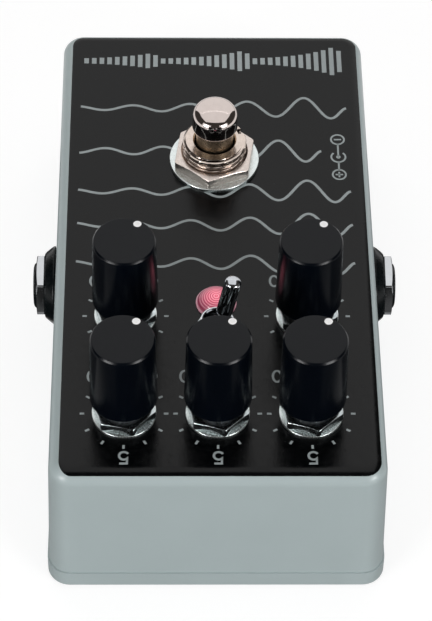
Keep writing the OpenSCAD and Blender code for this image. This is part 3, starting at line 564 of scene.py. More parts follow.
def revolved(radius: Array, height: Array, columns: int) -> Skin:
    """Carries rows of radius and height round the z axis.

    A point of row i and column j is (r cos a, r sin a, h), with a = 2 pi j / columns.
    Rows run outwards along the foot, up the outside and back in over the top.

    Args:
        radius: Radius per row, or per row and column.
        height: Height per row, or per row and column.
        columns: Points round the axis.

    Returns:
        The closed surface.
    """
    rows = len(radius)
    r = np.broadcast_to(radius if np.ndim(radius) == 2 else radius[:, None], (rows, columns))
    h = np.broadcast_to(height if np.ndim(height) == 2 else height[:, None], (rows, columns))
    a = 2 * math.pi * np.arange(columns) / columns
    points = np.stack([r * np.cos(a), r * np.sin(a), h], -1).reshape(-1, 3)
    return Skin(points, grid_quads(rows, columns))


def lathe(profile: Array, columns: int = 128) -> Skin:
    """Revolves a closed profile of (radius, height) points round the z axis."""
    return revolved(profile[:, 0], profile[:, 1], columns)


def washer(outer: float, inner: float, foot: float, top: float, ease: float = 0.12) -> Skin:
    """A flat ring with eased edges, as a lathe of a rounded rectangle.

    Args:
        outer: Outer radius.
        inner: Radius of the hole.
        foot: Height of its lower face.
        top: Height of its upper face.
        ease: Reach of the rounding at the edges.

    Returns:
        The ring.
    """
    corners = np.array([[inner, foot], [outer, foot], [outer, top], [inner, top]])
    return lathe(eased(corners, ease), 120)


def hexagon_nut(across: float, bore: float, foot: float, top: float, bevel: float = 14.0,
                ease: float = 0.08) -> Skin:
    """A hexagon nut whose upper corners are turned down.

    The side's radius at angle a is half / cos(f), with half the distance of the flats and
    f the angle from the nearest flat's middle, limited where the corners are broken.
    Past the rim, which lies a little inside the flats, the top falls by the bevel's
    tangent.

    Args:
        across: Width across the flats.
        bore: Radius of the hole.
        foot: Height of its lower face.
        top: Height of its upper face.
        bevel: Slope of the turned corners in degrees.
        ease: Width of the broken edges.

    Returns:
        The nut, with a corner on the x axis.
    """
    columns, c = 6 * 24, ease
    half, rim_share, corner_share = across / 2, 0.97, 0.99
    flat = np.mod(360 * np.arange(columns) / columns, 60) - 30
    side = np.minimum(half / np.cos(np.radians(flat)), corner_share * half / math.cos(math.radians(30)))
    rim = rim_share * half
    fall = (side - rim) * math.tan(math.radians(bevel))
    one = np.ones(columns)
    rows = [(bore * one, (foot + c) * one), ((bore + c) * one, foot * one), (side - c, foot * one),
            (side, (foot + c) * one), (side, top - fall - 0.6 * c), (side - 0.4 * c, top - fall),
            (0.5 * (side + rim), top - 0.5 * fall), ((rim + c) * one, (top - 0.02) * one),
            ((rim - c) * one, top * one), ((bore + 4 * c) * one, top * one),
            (bore * one, (top - 4 * c) * one)]
    radius, height = (np.stack(part) for part in zip(*rows))
    return revolved(radius, height, columns)


@dataclass(frozen=True)
class Thread:
    """A helical outer thread with wide crests and narrow grooves."""

    radius: float
    pitch: float
    depth: float
    foot: float
    top: float
    chamfer: float = 0.5
    half_width: float = 0.27
    key_angle: float | None = None
    key_width: float = 1.6
    key_depth: float = 1.3
    rows_per_turn: int = 16
    run_in: float = 0.5
    run_out: float = 0.2
    mouth: float = 0.25

    def rows(self, columns: int) -> tuple[Array, Array]:
        """Works out the radius and height of the thread's outer skin.

        With p the fraction of height / pitch - turn, the groove is 1 at p = 0.5 and
        falls to 0 at its half width each side. The radius is the major one, or the
        chamfer's cone where that is less, less depth times groove. The groove fades
        over the run in at the foot and the run out at the top, in pitches.

        Args:
            columns: Points round the axis.

        Returns:
            Radius and height, each by row and column.
        """
        count = int(round((self.top - self.foot) / self.pitch * self.rows_per_turn))
        height = np.linspace(self.foot, self.top, count)[:, None]
        turn = np.arange(columns)[None, :] / columns
        phase = np.mod(height / self.pitch - turn, 1.0)
        groove = np.clip(1 - np.abs(phase - 0.5) / self.half_width, 0, 1)
        groove = groove * groove * (3 - 2 * groove)
        ends = np.clip((height - self.foot) / (self.run_in * self.pitch), 0, 1)
        ends = ends * np.clip((self.top - height) / (self.run_out * self.pitch), 0, 1)
        cone = self.radius - np.maximum(0, height - self.top + self.chamfer)
        radius = cone - self.depth * groove * ends
        if self.key_angle is not None:
            away = np.mod(turn * 360 - self.key_angle + 180, 360) - 180
            inside = np.abs(np.radians(away)) * self.radius < self.key_width / 2
            radius = np.where(inside, np.minimum(radius, self.radius - self.key_depth), radius)
        return radius, np.broadcast_to(height, radius.shape)

    def bushing(self, bore: float, under: list[tuple[float, float]], columns: int = 144) -> Skin:
        """Closes the thread to a bushing with a bore.

        Args:
            bore: Radius of the bore.
            under: (radius, height) rows below the thread, from the bore outwards.
            columns: Points round the axis.

        Returns:
            The bushing.
        """
        radius, height = self.rows(columns)
        lip = 0.5 * (self.radius - self.chamfer - bore)
        over = [(bore + 0.6 * lip, self.top), (bore + self.mouth, self.top),
                (bore, self.top - self.mouth)]
        low, high = (np.array(part)[:, :, None] * np.ones(columns) for part in (under, over))
        return revolved(np.concatenate([low[:, 0], radius, high[:, 0]]),
                        np.concatenate([low[:, 1], height, high[:, 1]]), columns)


def slab(low: tuple[float, float, float], high: tuple[float, float, float], ease: float = 0.1) -> Skin:
    """A box with eased upright edges and broken rims, as rows of a rounded rectangle.

    Each row is the same eased outline, drawn in by the broken rim at the foot and the
    top, and the first and last rows shrink to the middle and close the faces.

    Args:
        low: Lowest corner.
        high: Highest corner.
        ease: Reach of the rounding.

    Returns:
        The box.
    """
    centre = (np.array(low) + np.array(high)) / 2
    half = (np.array(high) - np.array(low)) / 2
    sign = np.array([[-1, -1], [1, -1], [1, 1], [-1, 1]])
    outline = eased(sign * half[:2], ease, 4)
    broken = 0.3 * ease
    scale = np.array([0.0, 1 - broken / half[0], 1.0, 1.0, 1 - broken / half[0], 0.0])
    height = np.array([-1, -1, -1 + broken / half[2], 1 - broken / half[2], 1, 1]) * half[2]
    flat = outline[None] * scale[:, None, None]
    rise = np.broadcast_to(height[:, None, None], flat.shape[:2] + (1,))
    points = (np.concatenate([flat, rise], -1) + centre).reshape(-1, 3)
    return Skin(points, grid_quads(6, len(outline), wrap_rows=False))


def stroke(path: Array, width: float, foot: float, top: float, closed: bool = False) -> Skin:
    """A flat printed line: a rectangle carried along a path in the panel's plane.

    Each point is set off by half the width along the mean of its two segments' normals,
    divided by the cosine of half the turn, so that the line keeps its width in a bend.

    Args:
        path: (x, y) points in order.
        width: Width of the line.
        foot: Height of its underside.
        top: Height of its upper face.
        closed: True where the last point joins the first.

    Returns:
        The line as a thin closed body.
    """
    ahead = np.roll(path, -1, 0) - path
    behind = path - np.roll(path, 1, 0)
    if not closed:
        ahead[-1], behind[0] = behind[-1], ahead[0]
    ahead = ahead / np.linalg.norm(ahead, axis=1, keepdims=True)
    behind = behind / np.linalg.norm(behind, axis=1, keepdims=True)
    mean = ahead + behind
    mean = mean / np.maximum(np.linalg.norm(mean, axis=1, keepdims=True), 1e-6)
    cosine = np.maximum(np.sum(mean * ahead, 1, keepdims=True), 0.5)
    normal = np.stack([-mean[:, 1], mean[:, 0]], 1) / cosine * width / 2
    left, right = path + normal, path - normal
    level = np.full((len(path), 1), foot)
    lift = np.full((len(path), 1), top)
    rows = np.stack([np.hstack([left, level]), np.hstack([right, level]),
                     np.hstack([right, lift]), np.hstack([left, lift])], 1)
    quads = grid_quads(len(path), 4, wrap_rows=closed)[:, ::-1]
    if not closed:
        n = 4 * (len(path) - 1)
        quads = np.concatenate([quads, [[0, 1, 2, 3]], [[n + 3, n + 2, n + 1, n]]])
    return Skin(rows.reshape(-1, 3), quads)


# Pieces in the scene


def weld(mesh: bpy.types.Mesh) -> None:
    """Merges the doubled points of a mesh and turns a closed one outwards.

    Args:
        mesh: The mesh, in metres.
    """
    work = bmesh.new()
    work.from_mesh(mesh)
    bmesh.ops.remove_doubles(work, verts=work.verts, dist=WELD)
    if work.calc_volume(signed=True) < 0:
        bmesh.ops.reverse_faces(work, faces=work.faces)
    work.to_mesh(mesh)
    work.free()


def piece(name: str, skin: Skin, body: str, finish: Finish, nodes: tuple[str, ...] = (),
          sharp: float = 30.0) -> bpy.types.Object:
    """Makes a surface a piece that rides on a body.

    Args:
        name: Name of the piece.
        skin: Its surface.
        body: The body that carries it.
        finish: Its finish.
        nodes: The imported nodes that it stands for.
        sharp: Angle in degrees past which an edge stays sharp.

    Returns:
        The new object.
    """
    mesh = bpy.data.meshes.new(name)
    mesh.vertices.add(len(skin.points))
    mesh.vertices.foreach_set("co", (skin.points * MM).astype(np.float32).ravel())
    mesh.loops.add(skin.quads.size)
    mesh.loops.foreach_set("vertex_index", skin.quads.astype(np.int32).ravel())
    mesh.polygons.add(len(skin.quads))
    mesh.polygons.foreach_set("loop_start", np.arange(0, skin.quads.size, 4, dtype=np.int32))
    mesh.update(calc_edges=True)
    weld(mesh)
    return settle(name, mesh, body, finish, nodes, sharp)


def settle(name: str, mesh: bpy.types.Mesh, body: str, finish: Finish,
           nodes: tuple[str, ...], sharp: float) -> bpy.types.Object:
    """Shades a mesh, dresses it and puts it on its body.

    Args:
        name: Name of the piece.
        mesh: Its mesh, in metres.
        body: The body that carries it.
        finish: Its finish.
        nodes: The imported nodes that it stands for.
        sharp: Angle in degrees past which an edge stays sharp.

    Returns:
        The new object.
    """
    mesh.shade_smooth()
    mesh.set_sharp_from_angle(angle=math.radians(sharp))
    mesh.materials.clear()
    mesh.materials.append(finish.material())
    thing = bpy.data.objects.new(name, mesh)
    bpy.context.scene.collection.objects.link(thing)
    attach(thing, body)
    if nodes:
        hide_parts(*nodes)
    normals = thing.modifiers.new("face_normals", "WEIGHTED_NORMAL")
    normals.keep_sharp = True
    log.info("piece %s: %d faces on %s", name, len(mesh.polygons), body)
    return thing


@dataclass(frozen=True)
class Packed:
    """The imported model: its nodes, their boxes and the hinges' pivots."""

    nodes: dict[str, bpy.types.Object]
    boxes: dict[str, Array]
    pivots: dict[str, Array]

    @classmethod
    def read(cls, frame: dict[str, object]) -> "Packed":
        """Reads every box and pivot in millimetres, rounded to the nearest micrometre.

        Args:
            frame: The loaded frame.

        Returns:
            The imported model.
        """
        boxes = {name: np.round(np.array(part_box(name)) / MM, 3) for name in frame["nodes"]}
        pivots = {joint["name"]: np.round(np.array(joint["pos_m"]) / MM, 3)
                  for joint in frame["joints"] if "pos_m" in joint}
        return cls(frame["nodes"], boxes, pivots)

    def low(self, node: str) -> Array:
        """Lowest corner of a node's box."""
        return self.boxes[node][0]

    def high(self, node: str) -> Array:
        """Highest corner of a node's box."""
        return self.boxes[node][1]

    def middle(self, node: str) -> Array:
        """Middle of a node's box, to the nearest micrometre."""
        return np.round(self.boxes[node].mean(0), 3)

    def dress(self, node: str, finish: Finish) -> None:
        """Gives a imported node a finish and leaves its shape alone.

        Args:
            node: Name of the node.
            finish: Its finish.
        """
        thing = self.nodes[node]
        if not thing.material_slots:
            thing.data.materials.append(finish.material())
        for place in thing.material_slots:
            place.material = finish.material()
        log.info("node %s: %s", node, finish.name)

    def smoothed(self, name: str, node: str, body: str, slot: str, finish: Finish,
                 sharp: float = 24.0) -> bpy.types.Object:
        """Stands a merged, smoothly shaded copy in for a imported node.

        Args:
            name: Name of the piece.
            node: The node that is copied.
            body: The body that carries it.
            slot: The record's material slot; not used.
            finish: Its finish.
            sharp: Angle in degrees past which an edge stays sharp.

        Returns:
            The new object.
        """
        mesh = self.nodes[node].data.copy()
        mesh.name = name
        work = bmesh.new()
        work.from_mesh(mesh)
        bmesh.ops.remove_doubles(work, verts=work.verts, dist=COPY_WELD)
        work.to_mesh(mesh)
        work.free()
        return settle(name, mesh, body, finish, (node,), sharp)


@dataclass(frozen=True)
class Fitting:
    """A part of the pedal, with the heights and places that several parts share."""

    packed: Packed

    @property
    def panel(self) -> float:
        """Height of the panel's outer face."""
        return self.packed.high("enclosure")[2]

    @property
    def under(self) -> float:
        """Height of the panel's inner face, which the toggle's housing touches."""
        return self.packed.high("toggle_housing")[2]

    @property
    def dials(self) -> list[Array]:
        """The x and y of each knob's axis, in the order of the corners."""
        return [self.packed.pivots[corner + "_knob_turn"][:2] for corner in CORNERS]


@dataclass(frozen=True)
class Box(Fitting):
    """The die-cast box: its walls, its base plate and its four screws."""

    def build(self) -> None:
        """Dresses the box as merged copies of its solids."""
        self.packed.smoothed("enclosure_casting", "enclosure", PEDAL, "body_paint", PAINT)
        self.packed.smoothed("base_plate_casting", "base_plate", PEDAL, "body_paint", PAINT)
        self.packed.smoothed("base_screws_turned", "base_screws", PEDAL, "screw_steel", SCREW)


@dataclass(frozen=True)
class PanelPrint(Fitting):
    """Black printed field with pale grey dial marks, waves, echo bars and a polarity sign."""

    wall_lean: float = 1.3
    corner: float = 1.3
    edge: float = 2.7
    reach_x: float = 1.16
    reach_y: float = 1.4
    off_x: float = -0.3
    off_y: float = 0.23
    lift: float = 0.03
    ink: float = 0.02
    line: float = 0.55
    ticks: int = 11
    tick_start: float = 240.0
    tick_step: float = 30.0
    tick_inner: float = 6.95
    tick_outer: float = 7.75
    tick_line: float = 0.42
    numeral_places: tuple[tuple[float, tuple[int, ...]], ...] = (
        (240.0, (0,)), (90.0, (5,)), (300.0, (1, 0)))
    numeral_r: float = 9.7
    numeral_h: float = 2.5
    numeral_pitch: float = 0.72
    numeral_line: float = 0.42
    wave_starts: tuple[tuple[float, float], ...] = ((-25.6, 6.0), (-25.6, -3.5), (-25.6, -12.0),
                                                    (-20.4, -22.5), (-25.6, -34.0))
    wave_end: float = 25.6
    wave_height: float = 4.0
    wave_length: float = 11.0
    wave_rise: float = 2.0
    wave_fade: float = 24.0
    bars_y: float = -47.0
    bar_count: int = 34
    bar_pitch: float = 1.5
    bar_width: float = 0.9
    bar_height: float = 8.4
    bar_least: float = 0.9
    bar_fall: float = 0.8
    first_bar: float = 0.6
    repeat: int = 12
    repeat_fall: float = 0.68
    sign_x: float = -23.6
    sign_far: float = 4.6
    sign_ring: float = 1.25
    sign_cup: float = 1.35
    sign_dot: float = 0.25
    sign_bar: float = 0.7
    sign_line: float = 0.34

    @property
    def half_sizes(self) -> Array:
        """Half width and half length of the panel's flat.

        Each is the wall's place at its foot, less the wall's height times the tangent of
        its lean, less the reach of the rounded edge.

        Returns:
            The two lengths, to the nearest micrometre.
        """
        low, high = self.packed.low("enclosure"), self.packed.high("enclosure")
        inset = (high[2] - low[2]) * math.tan(math.radians(self.wall_lean)) + self.edge
        return np.round(high[:2] - inset, 3)

    def outline(self, grow: Array, count: int = 40) -> Array:
        """Rounded rectangle round the flat part of the panel, grown outwards.

        Each quarter is an arc of the corner radius plus the growth about the corner's
        centre, and straight sides join the quarters. The growth is larger on the sides to
        which the print lies off the middle, and smaller on the others.

        Args:
            grow: (rows, 2) growth across and along the panel.
            count: Points in each quarter.

        Returns:
            (rows, 4 * count, 2) points.
        """
        angle = np.radians(np.linspace(0, 90, count))
        quarter = np.stack([np.cos(angle), np.sin(angle)], 1)
        turn = np.array([[0, -1], [1, 0]])
        turns = [np.linalg.matrix_power(turn, k) for k in range(4)]
        spokes = np.concatenate([quarter @ t.T for t in turns])
        signs = np.repeat(np.array([[1, 1], [-1, 1], [-1, -1], [1, -1]]), count, 0)
        centres = signs * (self.half_sizes - self.corner)
        lean = 1 + signs * np.array([self.off_x, self.off_y])
        return centres[None] + spokes[None] * (self.corner + grow[:, None, :] * lean)

    def field(self) -> Skin:
        """The black field: the flat, and a strip that bends down over the rounded edge.

        Past the flat, a point at growth t has dropped by r - sqrt(r^2 - t^2) with r the
        edge's rounding, and stands off the paint by the lift along the same normal.

        Returns:
            The field as a thin open-backed shell with its rim turned into the paint.
        """
        share = np.linspace(0, 1, 14)
        grow = np.stack([share * self.reach_x, share * self.reach_y], 1)
        rings = self.outline(grow)
        spokes = self.outline(np.ones((1, 2))) - self.outline(np.zeros((1, 2)))
        spokes = spokes / np.linalg.norm(spokes, axis=-1, keepdims=True)
        t = np.linalg.norm(rings - self.outline(np.zeros((1, 2))), axis=-1)
        slope = t / self.edge
        drop = self.edge - np.sqrt(self.edge**2 - t**2)
        flat = rings + spokes * (self.lift * slope)[..., None]
        rise = self.panel - drop + self.lift * np.sqrt(1 - slope**2)
        skirt = np.concatenate([flat, rise[..., None]], -1)
        inner = self.outline(np.zeros((1, 2)))[0]
        scale = np.linspace(0, 1, 12)[:-1, None, None]
        plate = inner[None] * scale
        plate = np.concatenate([plate, np.full(plate.shape[:2] + (1,), self.panel + self.lift)], -1)
        rim = skirt[-1:] - np.array([0, 0, 2 * self.lift])
        back = rim * np.array([0.0, 0.0, 1.0])
        shell = np.concatenate([back, rim, skirt[::-1], plate[::-1]])
        return Skin(shell.reshape(-1, 3), grid_quads(shell.shape[0], shell.shape[1], wrap_rows=False))

    def mark(self, path: Array, width: float, closed: bool = False) -> Skin:
        """A line of ink on the black field."""
        foot, top = self.panel + 0.5 * self.lift, self.panel + self.lift + self.ink
        return stroke(path, width, foot, top, closed)

    def scales(self) -> Skin:
        """Ticks round each knob, at even steps over its whole turn.

        Returns:
            The ticks of all five dials.
        """
        turn = np.radians(self.tick_start - self.tick_step * np.arange(self.ticks))
        spoke = np.stack([np.cos(turn), np.sin(turn)], 1)
        ends = np.array([self.tick_inner, self.tick_outer])[None, :, None] * spoke[:, None]
        paths = [path + at for at in self.dials for path in ends]
        return Skin.joined([self.mark(path, self.tick_line) for path in paths])

    def digit(self, value: int) -> tuple[Array, bool]:
        """The middle line of a plain dial numeral, one unit tall.

        Nought is an upright ellipse, one a stem with a flag, and five a bar, a stem and
        a bowl of an arc.

        Args:
            value: 0, 1 or 5.

        Returns:
            The path, and whether it closes.
        """
        if value == 0:
            turn = np.linspace(0, 2 * math.pi, 29)[:-1]
            return np.stack([0.3 * np.cos(turn), 0.5 * np.sin(turn)], 1), True
        if value == 1:
            return np.array([[-0.2, 0.27], [0.03, 0.5], [0.03, -0.5]]), False
        bowl = np.radians(np.linspace(125, -150, 18))
        arc = np.stack([0.33 * np.cos(bowl) - 0.03, 0.33 * np.sin(bowl) - 0.17], 1)
        return np.concatenate([[[0.28, 0.5], [-0.24, 0.5], [-0.27, 0.04]], arc]), False

    def numerals(self) -> Skin:
        """0, 5 and 10 round each knob, upright for the player.

        Returns:
            The numerals of all five dials.
        """
        skins = []
        for at in self.dials:
            for angle, digits in self.numeral_places:
                spoke = np.array([math.cos(math.radians(angle)), math.sin(math.radians(angle))])
                middle = at + self.numeral_r * spoke
                shift = (np.arange(len(digits)) - (len(digits) - 1) / 2) * self.numeral_pitch
                for value, dx in zip(digits, shift):
                    path, closed = self.digit(value)
                    path = (path + np.array([dx, 0.0])) * self.numeral_h + middle
                    skins.append(self.mark(path, self.numeral_line, closed))
        return Skin.joined(skins)

    def waves(self) -> Skin:
        """Five sine lines across the panel whose height fades from left to right.

        With s the distance from the left end, a line's y is its start plus height times
        exp(-s / fade) times 1 - exp(-s / rise) times sin(2 pi s / length).

        Returns:
            The five lines.
        """
        skins = []
        for left, start in self.wave_starts:
            x = np.linspace(left, self.wave_end, 260)
            s = x - left
            swing = self.wave_height * np.exp(-s / self.wave_fade) * (1 - np.exp(-s / self.wave_rise))
            y = start + swing * np.sin(2 * math.pi * s / self.wave_length)
            skins.append(self.mark(np.stack([x, y], 1), self.line))
        return Skin.joined(skins)

    def bars(self) -> Skin:
        """A row of upright bars in three fading repeats.

        Bar n of repeat k has the height times repeat fall^k times bar fall^n, or a share
        of that where it is the repeat's first, and the least height is added to each.

        Returns:
            The bars.
        """
        step = np.arange(self.bar_count)
        x = (step - (self.bar_count - 1) / 2) * self.bar_pitch
        k, n = step // self.repeat, step % self.repeat
        height = self.bar_height * self.repeat_fall**k * self.bar_fall**n
        height = height * np.where(n == 0, self.first_bar, 1.0) + self.bar_least
        skins = []
        for a, h in zip(x, height):
            path = np.array([[a, self.bars_y - h / 2], [a, self.bars_y + h / 2]])
            skins.append(self.mark(path, self.bar_width))
        return Skin.joined(skins)

    def polarity(self) -> Skin:
        """The usual polarity sign of a power inlet: two ringed signs, a cup and a centre dot.

        Returns:
            The sign, drawn along the panel's length beside the inlet.
        """
        turn = np.linspace(0, 2 * math.pi, 25)[:-1]
        circle = np.stack([np.cos(turn), np.sin(turn)], 1)
        ring, dot = self.sign_ring * circle, self.sign_dot * circle
        cup = np.radians(np.linspace(-140, 140, 22))
        cup = self.sign_cup * np.stack([-np.sin(cup), np.cos(cup)], 1)
        bar = np.array([[-self.sign_bar, 0.0], [self.sign_bar, 0.0]])
        far, stem = np.array([0.0, self.sign_far]), self.sign_far - self.sign_ring
        lines = [(ring + far, True), (ring - far, True), (cup, False), (dot, True),
                 (bar + far, False), (bar[:, ::-1] + far, False), (bar - far, False),
                 (np.array([[0, self.sign_cup], [0, stem]]), False),
                 (np.array([[0, -self.sign_dot], [0, -stem]]), False)]
        at = np.array([self.sign_x, self.packed.middle("dc_inlet")[1]])
        return Skin.joined([self.mark(path + at, self.sign_line, closed) for path, closed in lines])

    def build(self) -> None:
        """Makes the black field and each group of grey marks."""
        piece("panel_print_field", self.field(), PEDAL, PRINT)
        marks = {"scale_ticks": self.scales(), "scale_numerals": self.numerals(),
                 "wave_lines": self.waves(), "echo_bars": self.bars(), "polarity_sign": self.polarity()}
        for name, skin in marks.items():
            piece("panel_print_" + name, skin, PEDAL, INK)


@dataclass(frozen=True)
class Knob(Fitting):
    """A tapered black knob with a flat top, a hollow skirt, a boss and a white dot."""

    corner: str
    foot_r: float = 5.92
    top_r: float = 5.6
    height: float = 15.3
    edge: float = 0.3
    wall: float = 1.1
    bore: float = 3.05
    boss: float = 4.1
    hollow: float = 13.1
    shaft_top: float = 8.7
    ribs: tuple[float, ...] = (15, 75, 135)
    rib_foot: float = 1.5
    rib_t: float = 0.8
    bite: float = 0.1
    stop: float = 30.0
    dot_r: float = 0.725
    dot_in: float = 1.045
    dot_lift: float = 0.02

    def moulding(self) -> Skin:
        """Shell, boss and ribs of the knob, which bite a little into each other.

        Returns:
            The knob round its own axis, foot at zero.
        """
        inner, top = self.top_r - self.wall, self.height - self.dot_lift
        corners = np.array([[inner, 0.0], [self.foot_r, 0.0], [self.top_r, top - 1.3 * self.edge],
                            [self.top_r - self.edge, top], [self.top_r - 3 * self.edge, top], [0.0, top],
                            [0.0, self.hollow], [inner, self.hollow]])
        reach = np.array([0.15, 0.3, 0.05, 0.05, 0.0, 0.0, 0.0, 0.3])
        shell = lathe(eased(corners, reach, 7), 160)
        roof = self.hollow + self.bite
        corners = np.array([[self.bore, 0.0], [self.boss, 0.0], [self.boss, roof], [0.0, roof],
                            [0.0, self.shaft_top], [self.bore, self.shaft_top]])
        boss = lathe(eased(corners, np.array([0.2, 0.1, 0.0, 0.0, 0.0, 0.1])), 96)
        half = self.rib_t / 2
        ribs = []
        for angle in self.ribs:
            for side in (-1, 1):
                low, high = sorted((side * (self.boss - self.bite), side * (inner + self.bite)))
                ribs.append(slab((low, -half, self.rib_foot), (high, half, roof)).turned(angle))
        return Skin.joined([shell, boss, *ribs])

    def dot(self) -> Skin:
        """The white dot, barely proud of the top, set at the knob's rest angle.

        Returns:
            The dot on the knob's own axis.
        """
        r = self.dot_r
        radius = np.array([0.0, r, r, 0.96 * r, 0.7 * r, 0.35 * r, 0.0])
        level = self.height + np.array([-0.3, -0.3, -0.008, -0.002, 0.0, 0.0, 0.0])
        turn = math.radians(270 - self.stop)
        out = self.top_r - self.dot_in
        return revolved(radius, level, 40).moved(out * math.cos(turn), out * math.sin(turn))

    def build(self) -> None:
        """Makes the knob and its dot on the body that turns with them."""
        body = "turning_" + self.corner
        x, y = self.packed.pivots[self.corner + "_knob_turn"][:2]
        place = (x, y, self.packed.low("knob_" + self.corner)[2])
        piece("knob_" + self.corner + "_moulding", self.moulding().moved(*place), body,
              KNOB, ("knob_" + self.corner,))
        piece("pointer_dot_" + self.corner + "_lacquer", self.dot().moved(*place), body, DOT,
              ("pointer_dot_" + self.corner,))


@dataclass(frozen=True)
class Potentiometers(Fitting):
    """The five controls under the knobs: castings with threaded bushings, washers and nuts."""

    turns: tuple[float, ...] = (42, 43, 47, 40, 45)
    width: float = 9.8
    length: float = 11.0
    plate: float = 1.6
    leg_t: float = 0.8
    leg_w: float = 2.0
    leg_down: float = 0.9
    thread_r: float = 3.45
    bore: float = 3.05
    thread_l: float = 5.4
    thread_foot: float = 2.5
    pitch: float = 0.75
    depth: float = 0.3
    washer_r: float = 5.65
    washer_t: float = 0.6
    nut_af: float = 10.0
    nut_t: float = 1.9

    def casting(self) -> Skin:
        """Plate, two legs and a bushing whose thread shows above the nut.

        Returns:
            One casting round its own axis.
        """
        x, y, leg = self.width / 2, self.length / 2, self.leg_w / 2
        low = self.under - self.plate
        plate = slab((-x, -y, low), (x, y, self.under), 0.3)
        spans = [sorted((side * x, side * (x - self.leg_t))) for side in (-1, 1)]
        toe, hip = self.packed.low("main_board")[2] - self.leg_down, self.under - self.plate / 2
        legs = [slab((near, -leg, toe), (far, leg, hip)) for near, far in spans]
        foot, top = self.under + self.thread_foot, self.under + self.thread_l
        thread = Thread(self.thread_r, self.pitch, self.depth, foot, top, chamfer=0.25)
        below = [(self.bore, low), (self.thread_r, low), (self.thread_r, foot - 0.1)]
        return Skin.joined([plate, *legs, thread.bushing(self.bore, below, 96)])

    def build(self) -> None:
        """Makes the five castings, washers and nuts, and dresses what lies inside."""
        z = self.panel + self.washer_t
        at = [(x, y, 0.0) for x, y in self.dials]
        piece("pot_castings", Skin.joined([self.casting().moved(*p) for p in at]), PEDAL,
              CAST, ("pot_bushings",))
        ring = washer(self.washer_r, self.thread_r + WASHER_PLAY, self.panel, z, 0.14)
        piece("pot_washers_plated", Skin.joined([ring.moved(*p) for p in at]), PEDAL, ZINC,
              ("pot_washers",))
        nut = hexagon_nut(self.nut_af, self.thread_r + NUT_PLAY, z, z + self.nut_t)
        piece("pot_nuts_plated", Skin.joined([nut.turned(t).moved(*p) for t, p in zip(self.turns, at)]),
              PEDAL, PLATED_NUT, ("pot_nuts",), 20)
        for corner in CORNERS:
            self.packed.smoothed("pot_shaft_" + corner + "_turned", "pot_shaft_" + corner,
                                 "turning_" + corner, "shaft_metal", SHAFT)
        self.packed.dress("pot_housings", INNER)
        self.packed.dress("pot_pins", TINNED)


@dataclass(frozen=True)
class Footswitch(Fitting):
    """The footswitch: a domed button on a stem, a threaded bushing, nuts and washers."""

    thread_r: float = 5.95
    thread_down: float = 1.0
    pitch: float = 1.05
    depth: float = 0.6
    bore: float = 3.85
    stem_r: float = 3.5
    flare: float = 0.12
    cap_r: float = 4.25
    cap_h: float = 5.0
    crown: float = 1.9
    dome_h: float = 0.25
    nut_af: float = 14.0
    nut_t: float = 2.1
    nut_turn: float = 22.0
    key_turn: float = 203.0
    washer_r: float = 8.45
    washer_t: float = 0.8

    def cap(self) -> Skin:
        """The cap: an upright side, a rounded shoulder and a shallow dome.

        Inside the shoulder's end, at radius r0 and height z0, the dome is
        z = z0 + (top - z0) (1 - (r / r0)^2).

        Returns:
            The cap on its axis.
        """
        top = self.packed.high("footswitch_button")[2]
        foot = top - self.cap_h
        arc = np.radians(np.linspace(0, 84, 20))
        middle = top - self.dome_h - self.crown
        shoulder = np.stack([self.cap_r - self.crown * (1 - np.cos(arc)),
                             middle + self.crown * np.sin(arc)], 1)
        r0, z0 = shoulder[-1]
        r = np.linspace(r0, 0, 12)[1:]
        dome = np.stack([r, z0 + (top - z0) * (1 - (r / r0) ** 2)], 1)
        under = np.array([[0.0, foot], [self.stem_r - 0.3, foot], [self.cap_r - 0.45, foot],
                          [self.cap_r - 0.2, foot + 0.06], [self.cap_r - 0.06, foot + 0.2],
                          [self.cap_r, foot + 0.45]])
        return lathe(np.concatenate([under, shoulder, dome]), 160)

    def stem(self) -> Skin:
        """The stem, flared where it meets the cap, as a lathe of five points.

        Returns:
            The stem on its axis.
        """
        foot = self.packed.low("footswitch_button")[2]
        top = self.packed.high("footswitch_button")[2] - self.cap_h
        return lathe(np.array([[0.0, foot], [self.stem_r, foot], [self.stem_r, top - self.flare],
                               [self.stem_r + self.flare, top], [0.0, top + 0.1]]), 160)

    def build(self) -> None:
        """Makes what shows of the switch and dresses its housing and lugs."""
        at = (0.0, self.packed.middle("footswitch_housing")[1], 0.0)
        piece("footswitch_cap_plated", self.cap().moved(*at), "plunger", NICKEL,
              ("footswitch_button",), 50)
        piece("footswitch_stem_turned", self.stem().moved(*at), "plunger", NICKEL_STEM)
        foot, ring = self.panel - self.thread_down, self.packed.high("footswitch_bushing")[2]
        thread = Thread(self.thread_r, self.pitch, self.depth, foot, ring, key_angle=self.key_turn)
        low = self.packed.low("footswitch_bushing")[2]
        below = [(self.bore, low), (self.thread_r, low), (self.thread_r, foot - 0.1)]
        # The bushing's finish paints shade into its grooves and bore
        piece("footswitch_bushing_threaded", thread.bushing(self.bore, below, 240).moved(*at), PEDAL,
              replace(NICKEL_THREAD_SHADED, axis=at[:2]), ("footswitch_bushing",))
        foot, hole = self.panel + self.washer_t, self.thread_r + NUT_PLAY
        outer = hexagon_nut(self.nut_af, hole, foot, foot + self.nut_t).turned(self.nut_turn)
        top = self.packed.high("footswitch_housing")[2]
        inner = hexagon_nut(self.nut_af, hole, top, top + self.nut_t)
        piece("footswitch_nuts_plated", Skin.joined([outer, inner]).moved(*at), PEDAL,
              NICKEL_FLAT, ("footswitch_nuts",), 20)
        ring = washer(self.washer_r, self.thread_r + WASHER_PLAY, self.panel, foot, 0.16)
        piece("footswitch_washer_plated", ring.moved(*at), PEDAL, ZINC,
              ("footswitch_washer",))
        self.packed.dress("footswitch_lock_washer", ZINC)
        self.packed.dress("footswitch_housing", BLUE)
        self.packed.dress("footswitch_lugs", TINNED)


